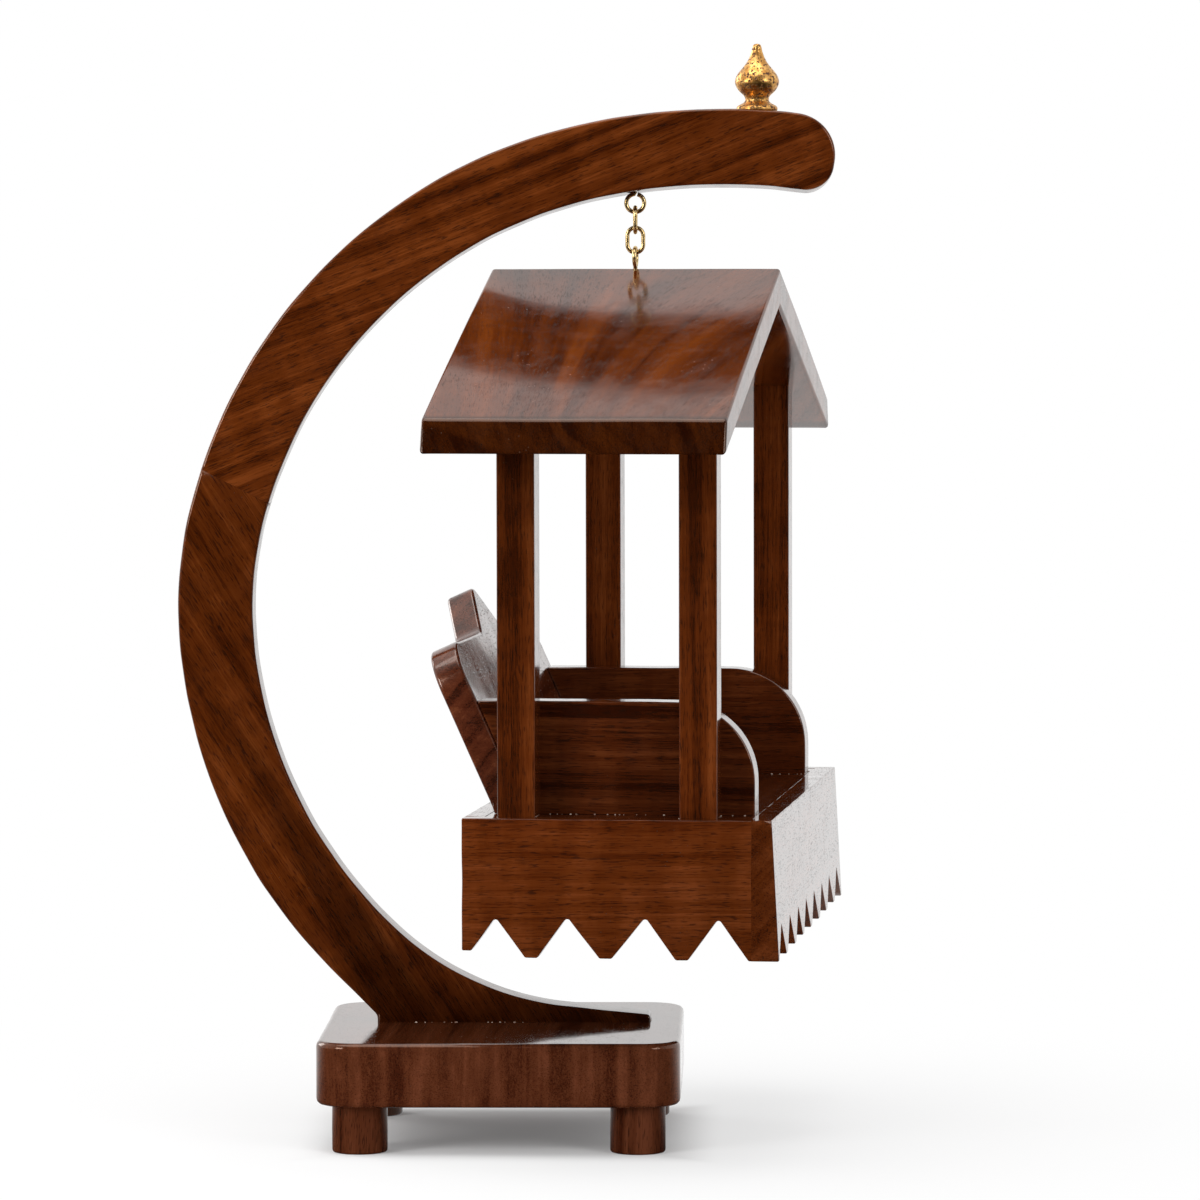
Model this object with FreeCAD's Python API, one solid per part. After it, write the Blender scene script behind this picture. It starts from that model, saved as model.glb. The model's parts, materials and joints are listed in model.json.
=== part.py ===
import FreeCAD, Part
import math
import os

# Table-top jhoola: a roofed swing hung by a short chain from a crescent arm on a footed base.
# Millimetres. Origin: on the surface it stands on, under the centre of the base.
# +X is the way the swing's seat faces, +Z is up. Left is the side towards -Y.

os.makedirs("parts", exist_ok=True)
V = FreeCAD.Vector

# Base plate and feet
base_length = 100.0
base_depth = 100.0
base_thickness = 17.6
base_corner_radius = 10.6
base_arris = 1.6
foot_radius = 7.6
foot_height = 13.4
foot_inset = 11.8
foot_arris = 0.7
foot_tenon_radius = 4.0
foot_tenon_length = 9.0

# Crescent arm: a band of steady width along a centre line of arcs that run into each other,
# sawn from two boards that are glued and dowelled end to end.
# A turn is the angle in degrees from straight up, round the back of the crescent to its foot.
arm_width = 20.9
arm_thickness = 13.0
arm_crown_x = 61.9
arm_tip_radius = 184.6
# Radii of the arcs below the tip's: shares of the crown's height above the base
arm_radius_shares = {"shoulder": 0.5274, "back": 0.4130, "foot": 0.5349, "toe": 0.3237}
arm_shoulder_turn = 9.8
arm_back_turn = 76.9
arm_foot_turn = 94.1
arm_tip_reach = 31.0
# Radii of the tip's two corners: shares of the arm's width
arm_tip_rounding_shares = {"upper": 0.56, "lower": 0.36}
arm_heel_turn = 135.0
arm_heel_height = 1.9
arm_arris = 0.9
toe_slope = 6.0
toe_end_height = 2.06
toe_x = 41.1
arm_joint_turn = 72.3
arm_joint_skew = 9.2
arm_dowel_radius = 2.0
arm_dowel_length = 16.0
arm_dowel_spread = 4.6

# Turned finial and its double-ended screw
finial_radius = 6.15
finial_height = 18.9
finial_past_crown = 9.2
finial_seat_sink = 0.1
finial_seat_play = 0.3
# Places on its outline: shares of its radius and of its height
finial_shares = {
    "tip_side": (0.14, 0.987), "tip_low": (0.20, 0.96), "flank": (0.34, 0.80), "flank_low": (0.66, 0.64),
    "bulb": (1, 0.43), "bulb_low": (0.60, 0.235), "neck": (0.535, 0.18), "neck_low": (0.60, 0.135),
    "flange_top": (0.86, 0.085), "flange": (0.935, 0.045), "flange_low": (0.89, 0),
}
stud_radius = 1.4
stud_in_arm = 7.0
stud_in_finial = 7.0

# Hanging iron: screw eyes and chain links of round wire
wire_radius = 0.6
ring_radius = 2.5
link_radius = 2.2
link_height = 6.95
link_play = 0.1
eye_neck = 0.9
eye_shank_length = 7.0
hook_behind_crown = 24.8

# Seat box
swing_clearance = 26.8
swing_turn = -6.1
skirt_length = 83.6
skirt_width = 177.2
skirt_height = 37.6
skirt_thickness = 5.5
skirt_arris = 0.5
seat_thickness = 8.0
tooth_tip = 3.3
notch_top = 0.9
tooth_rounding = 0.9
side_tooth_pitch = 20.05
side_tooth_first = 9.0
side_tooth_depth = 10.7
side_end_tooth_cut = 2.0
# The front board's outer face leans out towards its teeth, in degrees
front_flare = 3.0
front_tooth_count = 8
front_tooth_depth = 9.0

# Posts, side panels and backrest
post_size = 10.3
post_front_inset = 13.25
post_back_inset = 10.15
post_arris = 0.5
post_tenon_size = 6.3
post_tenon_length = 6.0
panel_height = 30.5
panel_thickness = 9.8
panel_front_inset = 0.7
panel_corner_radius = 21.5
panel_arris = 0.6
back_thickness = 8.1
back_lean = 24.2
back_foot_inset = 10.1
back_shoulder_height = 50.3
back_shoulder_radius = 12.0
back_arris = 1.0
crest_rise = 12.2
crest_half_width = 21.0
crest_tip_radius = 5.0
crest_foot_radius = 9.0

# Roof of two boards that meet at the ridge
roof_pitch = 18.1
roof_thickness = 9.8
roof_half_span = 115.4
roof_front_overhang = 12.05
roof_back_overhang = 20.25
roof_ridge_height = 136.05
roof_arris = 0.9
# The roof sits a little askew on the seat box: its turn, in degrees
roof_askew = -1.2

# Screws, pins and dowels
bore_play = 0.04
screw_radius = 1.6
screw_head_radius = 3.2
screw_head_height = 2.2
screw_in_arm = 9.0
screw_from_heel = 10.4
screw_spacing = 16.0
pin_radius = 0.5
pin_head_radius = 1.0
pin_head_height = 0.5
pin_sink = 0.15
pin_bite = 8.0
corner_pin_upper = 6.3
corner_pin_lower = 15.8
back_pin_share = 0.7
dowel_radius = 1.5
dowel_length = 12.0
dowel_spread = 26.0

overrun = 5.0
tolerance = 0.005

# Derived places
base_top = foot_height + base_thickness
arm_y = arm_thickness / 2
half_band = arm_width / 2
front_flare_slope = math.tan(math.radians(front_flare))
post_outer_y = skirt_width / 2 - skirt_thickness
post_y = post_outer_y - post_size / 2
post_slip = -post_y * math.tan(math.radians(roof_askew))
panel_outer_y = post_outer_y - post_size
seat_front_x = skirt_length / 2 - skirt_thickness
post_front_x = seat_front_x - post_front_inset
post_back_x = -seat_front_x + post_back_inset
panel_front_x = seat_front_x - panel_front_inset
back_foot_x = -seat_front_x + back_foot_inset
roof_front_x = post_front_x + roof_front_overhang
roof_back_x = post_back_x - roof_back_overhang
roof_slope = math.tan(math.radians(roof_pitch))
roof_plumb_thickness = roof_thickness / math.cos(math.radians(roof_pitch))
ridge_top = roof_ridge_height + roof_plumb_thickness
roof_eave_z = roof_ridge_height - roof_half_span * roof_slope
roof_eave_top_y = roof_half_span - roof_thickness * math.sin(math.radians(roof_pitch))
roof_eave_top_z = roof_eave_z + roof_thickness * math.cos(math.radians(roof_pitch))
roof_top_slope = (ridge_top - roof_eave_top_z) / roof_eave_top_y

# Heights up the chain, from the swing over the base to the arm's crown
swing_z = base_top + swing_clearance + skirt_height
turn_pivot_z = swing_z + ridge_top + eye_neck + 2 * ring_radius
lower_pivot_z = turn_pivot_z + link_height - 2 * wire_radius - link_play
upper_pivot_z = lower_pivot_z + link_height - 2 * wire_radius - link_play
hook_x = arm_crown_x - hook_behind_crown
hook_z = upper_pivot_z + eye_neck + 2 * ring_radius - 2 * wire_radius - link_play
tip_inner_radius = arm_tip_radius - half_band
crown_z = hook_z + arm_width + tip_inner_radius - math.sqrt(tip_inner_radius ** 2 - hook_behind_crown ** 2)
crown_rise = crown_z - base_top
arm_shoulder_radius = arm_radius_shares["shoulder"] * crown_rise
arm_back_radius = arm_radius_shares["back"] * crown_rise
arm_foot_radius = arm_radius_shares["foot"] * crown_rise
toe_radius = arm_radius_shares["toe"] * crown_rise


def box(low, high):
    """A box from its lowest to its highest corner."""
    return Part.makeBox(high.x - low.x, high.y - low.y, high.z - low.z, low)


def rod(radius, start, direction, length):
    """A round bar that starts at a point."""
    return Part.makeCylinder(radius, length, start, direction)


def prism(points, sweep):
    """A solid with straight edges: a closed outline of points swept along a vector."""
    wire = Part.makePolygon(points + [points[0]])
    return Part.Face(wire).extrude(sweep)


def soften(shape, radius, wanted):
    """Round the edges that the test picks."""
    edges = [edge for edge in shape.Edges if wanted(edge)]
    return shape.makeFillet(radius, edges)


def middle(edge):
    """The point half way along an edge."""
    return edge.valueAt((edge.FirstParameter + edge.LastParameter) / 2)


def runs_along(edge, axis):
    """True for a straight edge parallel to an axis."""
    if edge.Curve.TypeId != "Part::GeomLine":
        return False
    return edge.tangentAt(edge.FirstParameter).cross(axis).Length < tolerance


def near(a, b):
    """True when two places along an axis are the same."""
    return abs(a - b) < tolerance


def turned(turn):
    """The unit vector at a turn from straight up towards the back of the crescent."""
    angle = math.radians(turn)
    return V(-math.sin(angle), 0, math.cos(angle))


def downward(turn):
    """The unit vector along the crescent at a turn, towards its foot."""
    angle = math.radians(turn)
    return V(-math.cos(angle), 0, -math.sin(angle))


def turn_of(direction):
    """The turn of a direction in the crescent's plane."""
    return math.degrees(math.atan2(-direction.x, direction.z)) % 360


def arc(centre, radius, first_turn, last_turn):
    """An arc of the crescent between two turns."""
    turns = (first_turn, (first_turn + last_turn) / 2, last_turn)
    points = [centre + turned(turn) * radius for turn in turns]
    return Part.Arc(*points).toShape()


def crescent_centres():
    """Centres of the tip, shoulder, back and foot arcs, each arc running smoothly into the next."""
    tip = V(arm_crown_x, 0, crown_z - half_band - arm_tip_radius)
    shoulder = tip + turned(arm_shoulder_turn) * (arm_tip_radius - arm_shoulder_radius)
    back = shoulder + turned(arm_back_turn) * (arm_shoulder_radius - arm_back_radius)
    foot = back + turned(arm_foot_turn) * (arm_back_radius - arm_foot_radius)
    return tip, shoulder, back, foot


tip_centre, shoulder_centre, back_centre, foot_centre = crescent_centres()


def heel_start():
    """The end of the foot's outer arc, where the straight stretch down to the heel starts."""
    return foot_centre + turned(arm_heel_turn) * (arm_foot_radius + half_band)


def heel_top():
    """The upper corner of the blunt heel, where that straight stretch ends."""
    along = downward(arm_heel_turn)
    return heel_start() + along * ((base_top + arm_heel_height - heel_start().z) / along.z)


heel_x = heel_top().x


def finial_foot():
    """The middle of the finial's flat seat on the arm's upper edge."""
    x = arm_crown_x + finial_past_crown
    lowest = math.sqrt((arm_tip_radius + half_band) ** 2 - (finial_past_crown + finial_radius) ** 2)
    return V(x, arm_y, tip_centre.z + lowest - finial_seat_sink)


def screw_places():
    """Where the two screws go up through the base into the arm's foot."""
    first = heel_x + screw_from_heel
    return [V(x, arm_y, foot_height) for x in (first, first + screw_spacing)]


def countersunk_screw(play):
    """A wood screw from the base's underside, or the hole for it."""
    radius = screw_radius + play
    length = base_thickness + screw_in_arm + play
    shank = rod(radius, V(0, 0, 0), V(0, 0, 1), length)
    return shank.fuse(Part.makeCone(screw_head_radius + play, radius, screw_head_height + play))


def arm_screws():
    """The two screws that hold the arm."""
    return [countersunk_screw(0).translated(place) for place in screw_places()]


def foot_places():
    """Centres of the four feet on the surface below: front first, left first."""
    x = base_length / 2 - foot_inset
    y = base_depth / 2 - foot_inset
    return {"front_left": V(x, -y, 0), "front_right": V(x, y, 0),
            "back_left": V(-x, -y, 0), "back_right": V(-x, y, 0)}


def foot(place):
    """A turned foot with a round tenon up into the base."""
    body = rod(foot_radius, V(0, 0, 0), V(0, 0, 1), foot_height)
    body = soften(body, foot_arris, lambda edge: near(edge.CenterOfMass.z, 0))
    tenon = rod(foot_tenon_radius, V(0, 0, foot_height), V(0, 0, 1), foot_tenon_length)
    return body.fuse(tenon).translated(place)


def base_plate():
    """The base, with round corners, blind holes for the feet and holes for the arm's screws."""
    half = V(base_length / 2, base_depth / 2, 0)
    plate = box(V(-half.x, -half.y, foot_height), V(half.x, half.y, base_top))
    plate = soften(plate, base_corner_radius, lambda edge: runs_along(edge, V(0, 0, 1)))
    plate = soften(plate, base_arris, lambda edge: near(middle(edge).z, base_top)
                   or near(middle(edge).z, foot_height))
    for place in foot_places().values():
        mouth = place + V(0, 0, foot_height)
        plate = plate.cut(rod(foot_tenon_radius + bore_play, mouth, V(0, 0, 1), foot_tenon_length + bore_play))
    for place in screw_places():
        plate = plate.cut(countersunk_screw(bore_play).translated(place))
    return plate


def toe_places(toe_end):
    """Centre of the toe's hollow arc, which touches the foot's inner edge and the toe's sloping top,
    and the point where it meets that top."""
    slope = math.radians(toe_slope)
    along = V(math.cos(slope), 0, -math.sin(slope))
    above = toe_end + V(math.sin(slope), 0, math.cos(slope)) * toe_radius - foot_centre
    reach = arm_foot_radius - half_band - toe_radius
    run = above.dot(along) + math.sqrt(above.dot(along) ** 2 - above.Length ** 2 + reach ** 2)
    return foot_centre + above - along * run, toe_end - along * run


def arm_blank():
    """The whole crescent, with its toe running out along the base."""
    outer = half_band
    tip_turn = -math.degrees(math.asin(arm_tip_reach / arm_tip_radius))
    toe_end = V(toe_x, 0, base_top + toe_end_height)
    toe_centre, toe_top = toe_places(toe_end)
    toe_start_turn, toe_end_turn = turn_of(toe_centre - foot_centre), turn_of(toe_top - toe_centre)
    tip_outer = tip_centre + turned(tip_turn) * (arm_tip_radius + outer)
    tip_inner = tip_centre + turned(tip_turn) * (arm_tip_radius - outer)
    edges = [
        arc(tip_centre, arm_tip_radius + outer, tip_turn, arm_shoulder_turn),
        arc(shoulder_centre, arm_shoulder_radius + outer, arm_shoulder_turn, arm_back_turn),
        arc(back_centre, arm_back_radius + outer, arm_back_turn, arm_foot_turn),
        arc(foot_centre, arm_foot_radius + outer, arm_foot_turn, arm_heel_turn),
        Part.makeLine(heel_start(), heel_top()),
        Part.makeLine(heel_top(), V(heel_x, 0, base_top)),
        Part.makeLine(V(heel_x, 0, base_top), V(toe_x, 0, base_top)),
        Part.makeLine(V(toe_x, 0, base_top), toe_end),
        Part.makeLine(toe_end, toe_top),
        arc(toe_centre, toe_radius, toe_end_turn, toe_start_turn),
        arc(foot_centre, arm_foot_radius - outer, toe_start_turn, arm_foot_turn),
        arc(back_centre, arm_back_radius - outer, arm_foot_turn, arm_back_turn),
        arc(shoulder_centre, arm_shoulder_radius - outer, arm_back_turn, arm_shoulder_turn),
        arc(tip_centre, arm_tip_radius - outer, arm_shoulder_turn, tip_turn),
        Part.makeLine(tip_inner, tip_outer),
    ]
    body = Part.Face(Part.Wire(edges)).extrude(V(0, arm_thickness, 0))
    across = V(0, 1, 0)
    upper, lower = (arm_tip_rounding_shares[name] * arm_width for name in ("upper", "lower"))
    for corner, radius in ((tip_outer, upper), (tip_inner, lower)):
        body = soften(body, radius, lambda edge: runs_along(edge, across)
                      and near(middle(edge).x, corner.x) and near(middle(edge).z, corner.z))
    body = soften(body, arm_arris, lambda edge: not runs_along(edge, across)
                  and not near(middle(edge).z, base_top) and middle(edge).x < toe_x - arm_arris)
    seat = rod(finial_radius + finial_seat_play, finial_foot(), V(0, 0, 1), overrun)
    stud_hole = rod(stud_radius + bore_play, finial_foot() + V(0, 0, bore_play), V(0, 0, -1),
                    stud_in_arm + 2 * bore_play)
    eye_hole = rod(wire_radius + bore_play, V(hook_x, arm_y, hook_z - overrun), V(0, 0, 1),
                   overrun + eye_shank_length + bore_play)
    body = body.cut(seat).cut(stud_hole).cut(eye_hole)
    for place in screw_places():
        body = body.cut(countersunk_screw(bore_play).translated(place))
    for dowel in arm_dowels(bore_play):
        body = body.cut(dowel)
    return body


def arm_joint():
    """Middle of the joint of the arm's two boards, and the way its saw cut runs, from the back inwards."""
    centre = shoulder_centre + turned(arm_joint_turn) * arm_shoulder_radius
    return centre, turned(arm_joint_turn - arm_joint_skew) * -1


def arm_dowels(play):
    """The two dowels across the joint of the arm's boards, or their holes."""
    centre, cut = arm_joint()
    along = V(-cut.z, 0, cut.x)
    middle_y = V(0, arm_y, 0)
    half = arm_dowel_length / 2 + play
    return [rod(arm_dowel_radius + play, centre + middle_y + cut * place - along * half, along, 2 * half)
            for place in (-arm_dowel_spread, arm_dowel_spread)]


def arm_boards():
    """The crescent's upper and lower boards."""
    blank = arm_blank()
    centre, cut = arm_joint()
    reach = 2 * arm_tip_radius
    start, end = centre - cut * reach, centre + cut * reach
    upward = V(-cut.z, 0, cut.x) * reach
    above = prism([start, end, end + upward, start + upward], V(0, arm_thickness, 0))
    return blank.common(above), blank.cut(above)


def finial():
    """The turned finial: a pointed bulb on a neck and a spread foot."""
    at = {name: V(across * finial_radius, 0, up * finial_height)
          for name, (across, up) in finial_shares.items()}
    foot, top = V(0, 0, 0), V(0, 0, finial_height)
    edges = [
        Part.Arc(top, at["tip_side"], at["tip_low"]).toShape(),
        Part.Arc(at["tip_low"], at["flank"], at["flank_low"]).toShape(),
        Part.Arc(at["flank_low"], at["bulb"], at["bulb_low"]).toShape(),
        Part.Arc(at["bulb_low"], at["neck"], at["neck_low"]).toShape(),
        Part.makeLine(at["neck_low"], at["flange_top"]),
        Part.Arc(at["flange_top"], at["flange"], at["flange_low"]).toShape(),
        Part.makeLine(at["flange_low"], foot),
        Part.makeLine(foot, top),
    ]
    body = Part.Face(Part.Wire(edges)).revolve(foot, V(0, 0, 1), 360)
    hole = rod(stud_radius + bore_play, V(0, 0, -bore_play), V(0, 0, 1), stud_in_finial + 2 * bore_play)
    return body.cut(hole).translated(finial_foot())


def finial_stud():
    """The double-ended screw between the arm and the finial."""
    low = finial_foot() - V(0, 0, stud_in_arm)
    return rod(stud_radius, low, V(0, 0, 1), stud_in_arm + stud_in_finial)


def screw_eye():
    """A wire eye below its shank: the neck's top is at the origin and the ring lies in the XZ plane."""
    centre = V(0, 0, -eye_neck - ring_radius)
    ring = Part.makeTorus(ring_radius, wire_radius, centre, V(0, 1, 0))
    root = eye_neck + wire_radius
    shank = rod(wire_radius, V(0, 0, -root), V(0, 0, 1), root + eye_shank_length)
    return ring.fuse(shank)


def arm_eye():
    """The eye that screws up into the arm."""
    return screw_eye().translated(V(hook_x, arm_y, hook_z))


def ridge_eye():
    """The eye that screws down into the ridge, its ring square to the link it hangs from."""
    eye = screw_eye()
    eye.rotate(V(0, 0, 0), V(1, 0, 0), 180)
    eye.rotate(V(0, 0, 0), V(0, 0, 1), 90)
    return eye.translated(V(0, 0, ridge_top))


def chain_link():
    """A long wire link in the YZ plane, its top wire at the origin."""
    drop = link_height - 2 * link_radius
    centres = (V(0, 0, -link_radius), V(0, 0, -link_radius - drop))
    body = None
    for centre, side in zip(centres, (1, -1)):
        bow = Part.makeTorus(link_radius, wire_radius, centre, V(1, 0, 0))
        reach = link_radius + wire_radius
        half = box(V(-reach, -reach, min(0, side * reach)), V(reach, reach, max(0, side * reach)))
        bow = bow.common(half.translated(centre))
        body = bow if body is None else body.fuse(bow)
    for side in (-1, 1):
        body = body.fuse(rod(wire_radius, V(0, side * link_radius, centres[1].z), V(0, 0, 1), drop))
    return body


def upper_link():
    """The link that hangs from the arm's eye and swings fore and aft in it."""
    return chain_link().translated(V(hook_x, arm_y, upper_pivot_z))


def lower_link():
    """The link below, turned a quarter, which swings sideways in the upper link."""
    link = chain_link()
    link.rotate(V(0, 0, 0), V(0, 0, 1), 90)
    return link.translated(V(hook_x, arm_y, lower_pivot_z))


def toothed_outline(length, height, depth, first, pitch, end_cut):
    """Points of a board whose lower edge is cut to teeth: places along it and heights below its top."""
    flank = (pitch - tooth_tip - notch_top) / 2
    slope = depth / flank
    start = first - notch_top / 2 - (depth - end_cut) / slope
    points = [(0, 0), (0, -height + end_cut), (start, -height + end_cut)]
    notch = first
    while notch < length:
        points += [(notch - notch_top / 2, -height + depth), (notch + notch_top / 2, -height + depth)]
        tip_start = notch + notch_top / 2 + flank
        tip_end = tip_start + tooth_tip
        if tip_end < length:
            points += [(tip_start, -height), (tip_end, -height)]
        elif tip_start < length:
            points += [(tip_start, -height)]
        notch += pitch
    return points + [(length, -height), (length, 0)]


def toothed_board(outline, start, along, inward, outer_test, flare=0):
    """A skirt board from its outline, its teeth's corners eased and its outer top edge rounded."""
    points = [start + along * place + V(0, 0, height) for place, height in outline]
    low = min(point.z for point in points)
    spread = -low * flare
    body = prism([point - inward * spread for point in points], inward * (skirt_thickness + spread))
    if flare:
        reach, beyond = along * outline[-1][0], along * overrun
        top, foot = start + inward * (overrun * flare), start - inward * (spread + overrun * flare)
        waste = [top + V(0, 0, overrun), foot + V(0, 0, low - overrun),
                 foot - inward * overrun + V(0, 0, low - overrun), foot - inward * overrun + V(0, 0, overrun)]
        body = body.cut(prism([point - beyond for point in waste], reach + beyond * 2))

    def tip_corner(edge):
        return runs_along(edge, inward) and near(middle(edge).z, low) and not at_end(edge)

    def at_end(edge):
        place = (middle(edge) - start).dot(along)
        return place < tooth_rounding or place > outline[-1][0] - tooth_rounding

    body = soften(body, tooth_rounding, tip_corner)
    return soften(body, skirt_arris, outer_test)


def skirt_side(side):
    """The left (-1) or right (1) skirt board. It runs from the back corner to the front board."""
    length = skirt_length - skirt_thickness
    start = V(-skirt_length / 2, side * skirt_width / 2, 0)
    outline = toothed_outline(length, skirt_height, side_tooth_depth, side_tooth_first, side_tooth_pitch,
                              side_end_tooth_cut)
    return toothed_board(outline, start, V(1, 0, 0), V(0, -side, 0), lambda edge: near(middle(edge).y, start.y)
                         and (near(middle(edge).z, 0) or near(middle(edge).x, start.x)))


def skirt_front():
    """The front skirt board, across the ends of the side boards, thicker towards its teeth."""
    pitch = skirt_width / front_tooth_count
    start = V(skirt_length / 2, -skirt_width / 2, 0)
    outline = toothed_outline(skirt_width, skirt_height, front_tooth_depth, pitch / 2, pitch, 0)
    return toothed_board(outline, start, V(0, 1, 0), V(-1, 0, 0), lambda edge: middle(edge).x > start.x - tolerance
                         and (near(middle(edge).z, 0) or near(abs(middle(edge).y), skirt_width / 2)),
                         front_flare_slope)


def skirt_back():
    """The back skirt board, between the side boards and no deeper than their notches."""
    width = skirt_width - 2 * skirt_thickness
    pitch = width / front_tooth_count
    start = V(-skirt_length / 2, -width / 2, 0)
    height = skirt_height - side_tooth_depth
    outline = toothed_outline(width, height, front_tooth_depth, pitch / 2, pitch, 0)
    return toothed_board(outline, start, V(0, 1, 0), V(1, 0, 0), lambda edge: near(middle(edge).x, start.x)
                         and near(middle(edge).z, 0))


def post_places():
    """Centres of the four posts on the seat, under the roof's askew ends: front first, left first."""
    return {"front_left": (post_front_x - post_slip, -1), "front_right": (post_front_x + post_slip, 1),
            "back_left": (post_back_x - post_slip, -1), "back_right": (post_back_x + post_slip, 1)}


def roof_pin_places():
    """Where the roof's pins go in, in the roof's own frame."""
    return [(x, side) for x in (post_front_x, post_back_x) for side in (-1, 1)]


def post_tenon(x, side, play):
    """The square tenon under a post, or its mortise."""
    half = post_tenon_size / 2 + play
    centre = V(x, side * post_y, 0)
    return box(centre + V(-half, -half, -post_tenon_length - play), centre + V(half, half, play))


def post(x, side):
    """A square post, its top cut to the slope of the roof."""
    inner, outer = side * panel_outer_y, side * post_outer_y
    x0 = x - post_size / 2
    points = [V(x0, inner, 0), V(x0, outer, 0), V(x0, outer, roof_ridge_height - post_outer_y * roof_slope),
              V(x0, inner, roof_ridge_height - panel_outer_y * roof_slope)]
    body = prism(points, V(post_size, 0, 0))
    body = soften(body, post_arris, lambda edge: runs_along(edge, V(0, 0, 1)))
    return body.fuse(post_tenon(x, side, 0))


def seat_board():
    """The seat, let in level with the skirt's top, with mortises for the posts."""
    body = box(V(-seat_front_x, -post_outer_y, -seat_thickness), V(seat_front_x, post_outer_y, 0))
    for x, side in post_places().values():
        body = body.cut(post_tenon(x, side, bore_play))
    for pin in seat_pins(bore_play) + upright_pins(bore_play):
        body = body.cut(pin)
    return body


def side_panel(side):
    """A panel inside the posts of one side, round at the front and cut to the backrest behind."""
    y0 = side * panel_outer_y
    lean = math.tan(math.radians(back_lean))
    corner_x, corner_z = panel_front_x - panel_corner_radius, panel_height - panel_corner_radius
    back_top_x = back_foot_x - panel_height * lean
    bow = panel_corner_radius / math.sqrt(2)
    edges = [
        Part.makeLine(V(back_foot_x, y0, 0), V(panel_front_x, y0, 0)),
        Part.makeLine(V(panel_front_x, y0, 0), V(panel_front_x, y0, corner_z)),
        Part.Arc(V(panel_front_x, y0, corner_z), V(corner_x + bow, y0, corner_z + bow),
                 V(corner_x, y0, panel_height)).toShape(),
        Part.makeLine(V(corner_x, y0, panel_height), V(back_top_x, y0, panel_height)),
        Part.makeLine(V(back_top_x, y0, panel_height), V(back_foot_x, y0, 0)),
    ]
    body = Part.Face(Part.Wire(edges)).extrude(V(0, -side * panel_thickness, 0))

    def rounded(edge):
        centre = middle(edge)
        level = near(centre.z, panel_height) and runs_along(edge, V(1, 0, 0))
        upright = near(centre.x, panel_front_x) and runs_along(edge, V(0, 0, 1))
        return level or upright or not edge.Curve.TypeId == "Part::GeomLine"

    body = soften(body, panel_arris, rounded)
    for pin in upright_pins(bore_play):
        body = body.cut(pin)
    return body


def backrest():
    """The leaning backrest: round shoulders, a pointed crest, its foot cut level on the seat."""
    half = panel_outer_y
    top, peak = back_shoulder_height, back_shoulder_height + crest_rise
    base_line = -back_thickness

    def at(y, s):
        return V(0, y, s)

    # The crest's flank is the line that touches both its foot arc and its tip arc.
    foot_centre_y, foot_centre_s = crest_half_width, top + crest_foot_radius
    tip_centre_s = peak - crest_tip_radius
    gap = math.hypot(foot_centre_y, tip_centre_s - foot_centre_s)
    tilt = math.atan2(tip_centre_s - foot_centre_s, -foot_centre_y)
    swing = math.acos((crest_foot_radius + crest_tip_radius) / gap)
    angle = tilt + swing

    def on_foot(a):
        return (foot_centre_y + crest_foot_radius * math.cos(a),
                foot_centre_s + crest_foot_radius * math.sin(a))

    def on_tip(a):
        return -crest_tip_radius * math.cos(a), tip_centre_s - crest_tip_radius * math.sin(a)

    down = -math.pi / 2
    foot_touch, foot_mid = on_foot(angle), on_foot((angle - 2 * math.pi * (angle > 0) + down) / 2)
    tip_touch = on_tip(angle)
    shoulder_bow = back_shoulder_radius * (1 - 1 / math.sqrt(2))
    edges = [Part.makeLine(at(-half, base_line), at(half, base_line))]
    for side in (1, -1):
        run = [
            Part.makeLine(at(side * half, base_line), at(side * half, top - back_shoulder_radius)),
            Part.Arc(at(side * half, top - back_shoulder_radius),
                     at(side * (half - shoulder_bow), top - shoulder_bow),
                     at(side * (half - back_shoulder_radius), top)).toShape(),
            Part.makeLine(at(side * (half - back_shoulder_radius), top), at(side * crest_half_width, top)),
            Part.Arc(at(side * crest_half_width, top), at(side * foot_mid[0], foot_mid[1]),
                     at(side * foot_touch[0], foot_touch[1])).toShape(),
            Part.makeLine(at(side * foot_touch[0], foot_touch[1]), at(side * tip_touch[0], tip_touch[1])),
        ]
        edges += run
    tip = Part.Arc(at(tip_touch[0], tip_touch[1]), at(0, peak), at(-tip_touch[0], tip_touch[1]))
    wire = Part.Wire(Part.__sortEdges__(edges + [tip.toShape()]))
    body = Part.Face(wire).extrude(V(-back_thickness, 0, 0))
    body = soften(body, back_arris, lambda edge: not runs_along(edge, V(1, 0, 0))
                  and middle(edge).z > base_line + back_arris)
    body.rotate(V(0, 0, 0), V(0, 1, 0), -back_lean)
    body = body.translated(V(back_foot_x, 0, 0))
    reach = V(back_shoulder_height, half + overrun, 0)
    below = box(V(back_foot_x - reach.x, -reach.y, -reach.x), V(back_foot_x + reach.x, reach.y, 0))
    body = body.cut(below)
    for pin in upright_pins(bore_play):
        body = body.cut(pin)
    return body


def dowel_places():
    """Where the two dowels cross the ridge joint, along X."""
    middle_x = (roof_front_x + roof_back_x) / 2
    return middle_x - dowel_spread, middle_x + dowel_spread


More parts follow.
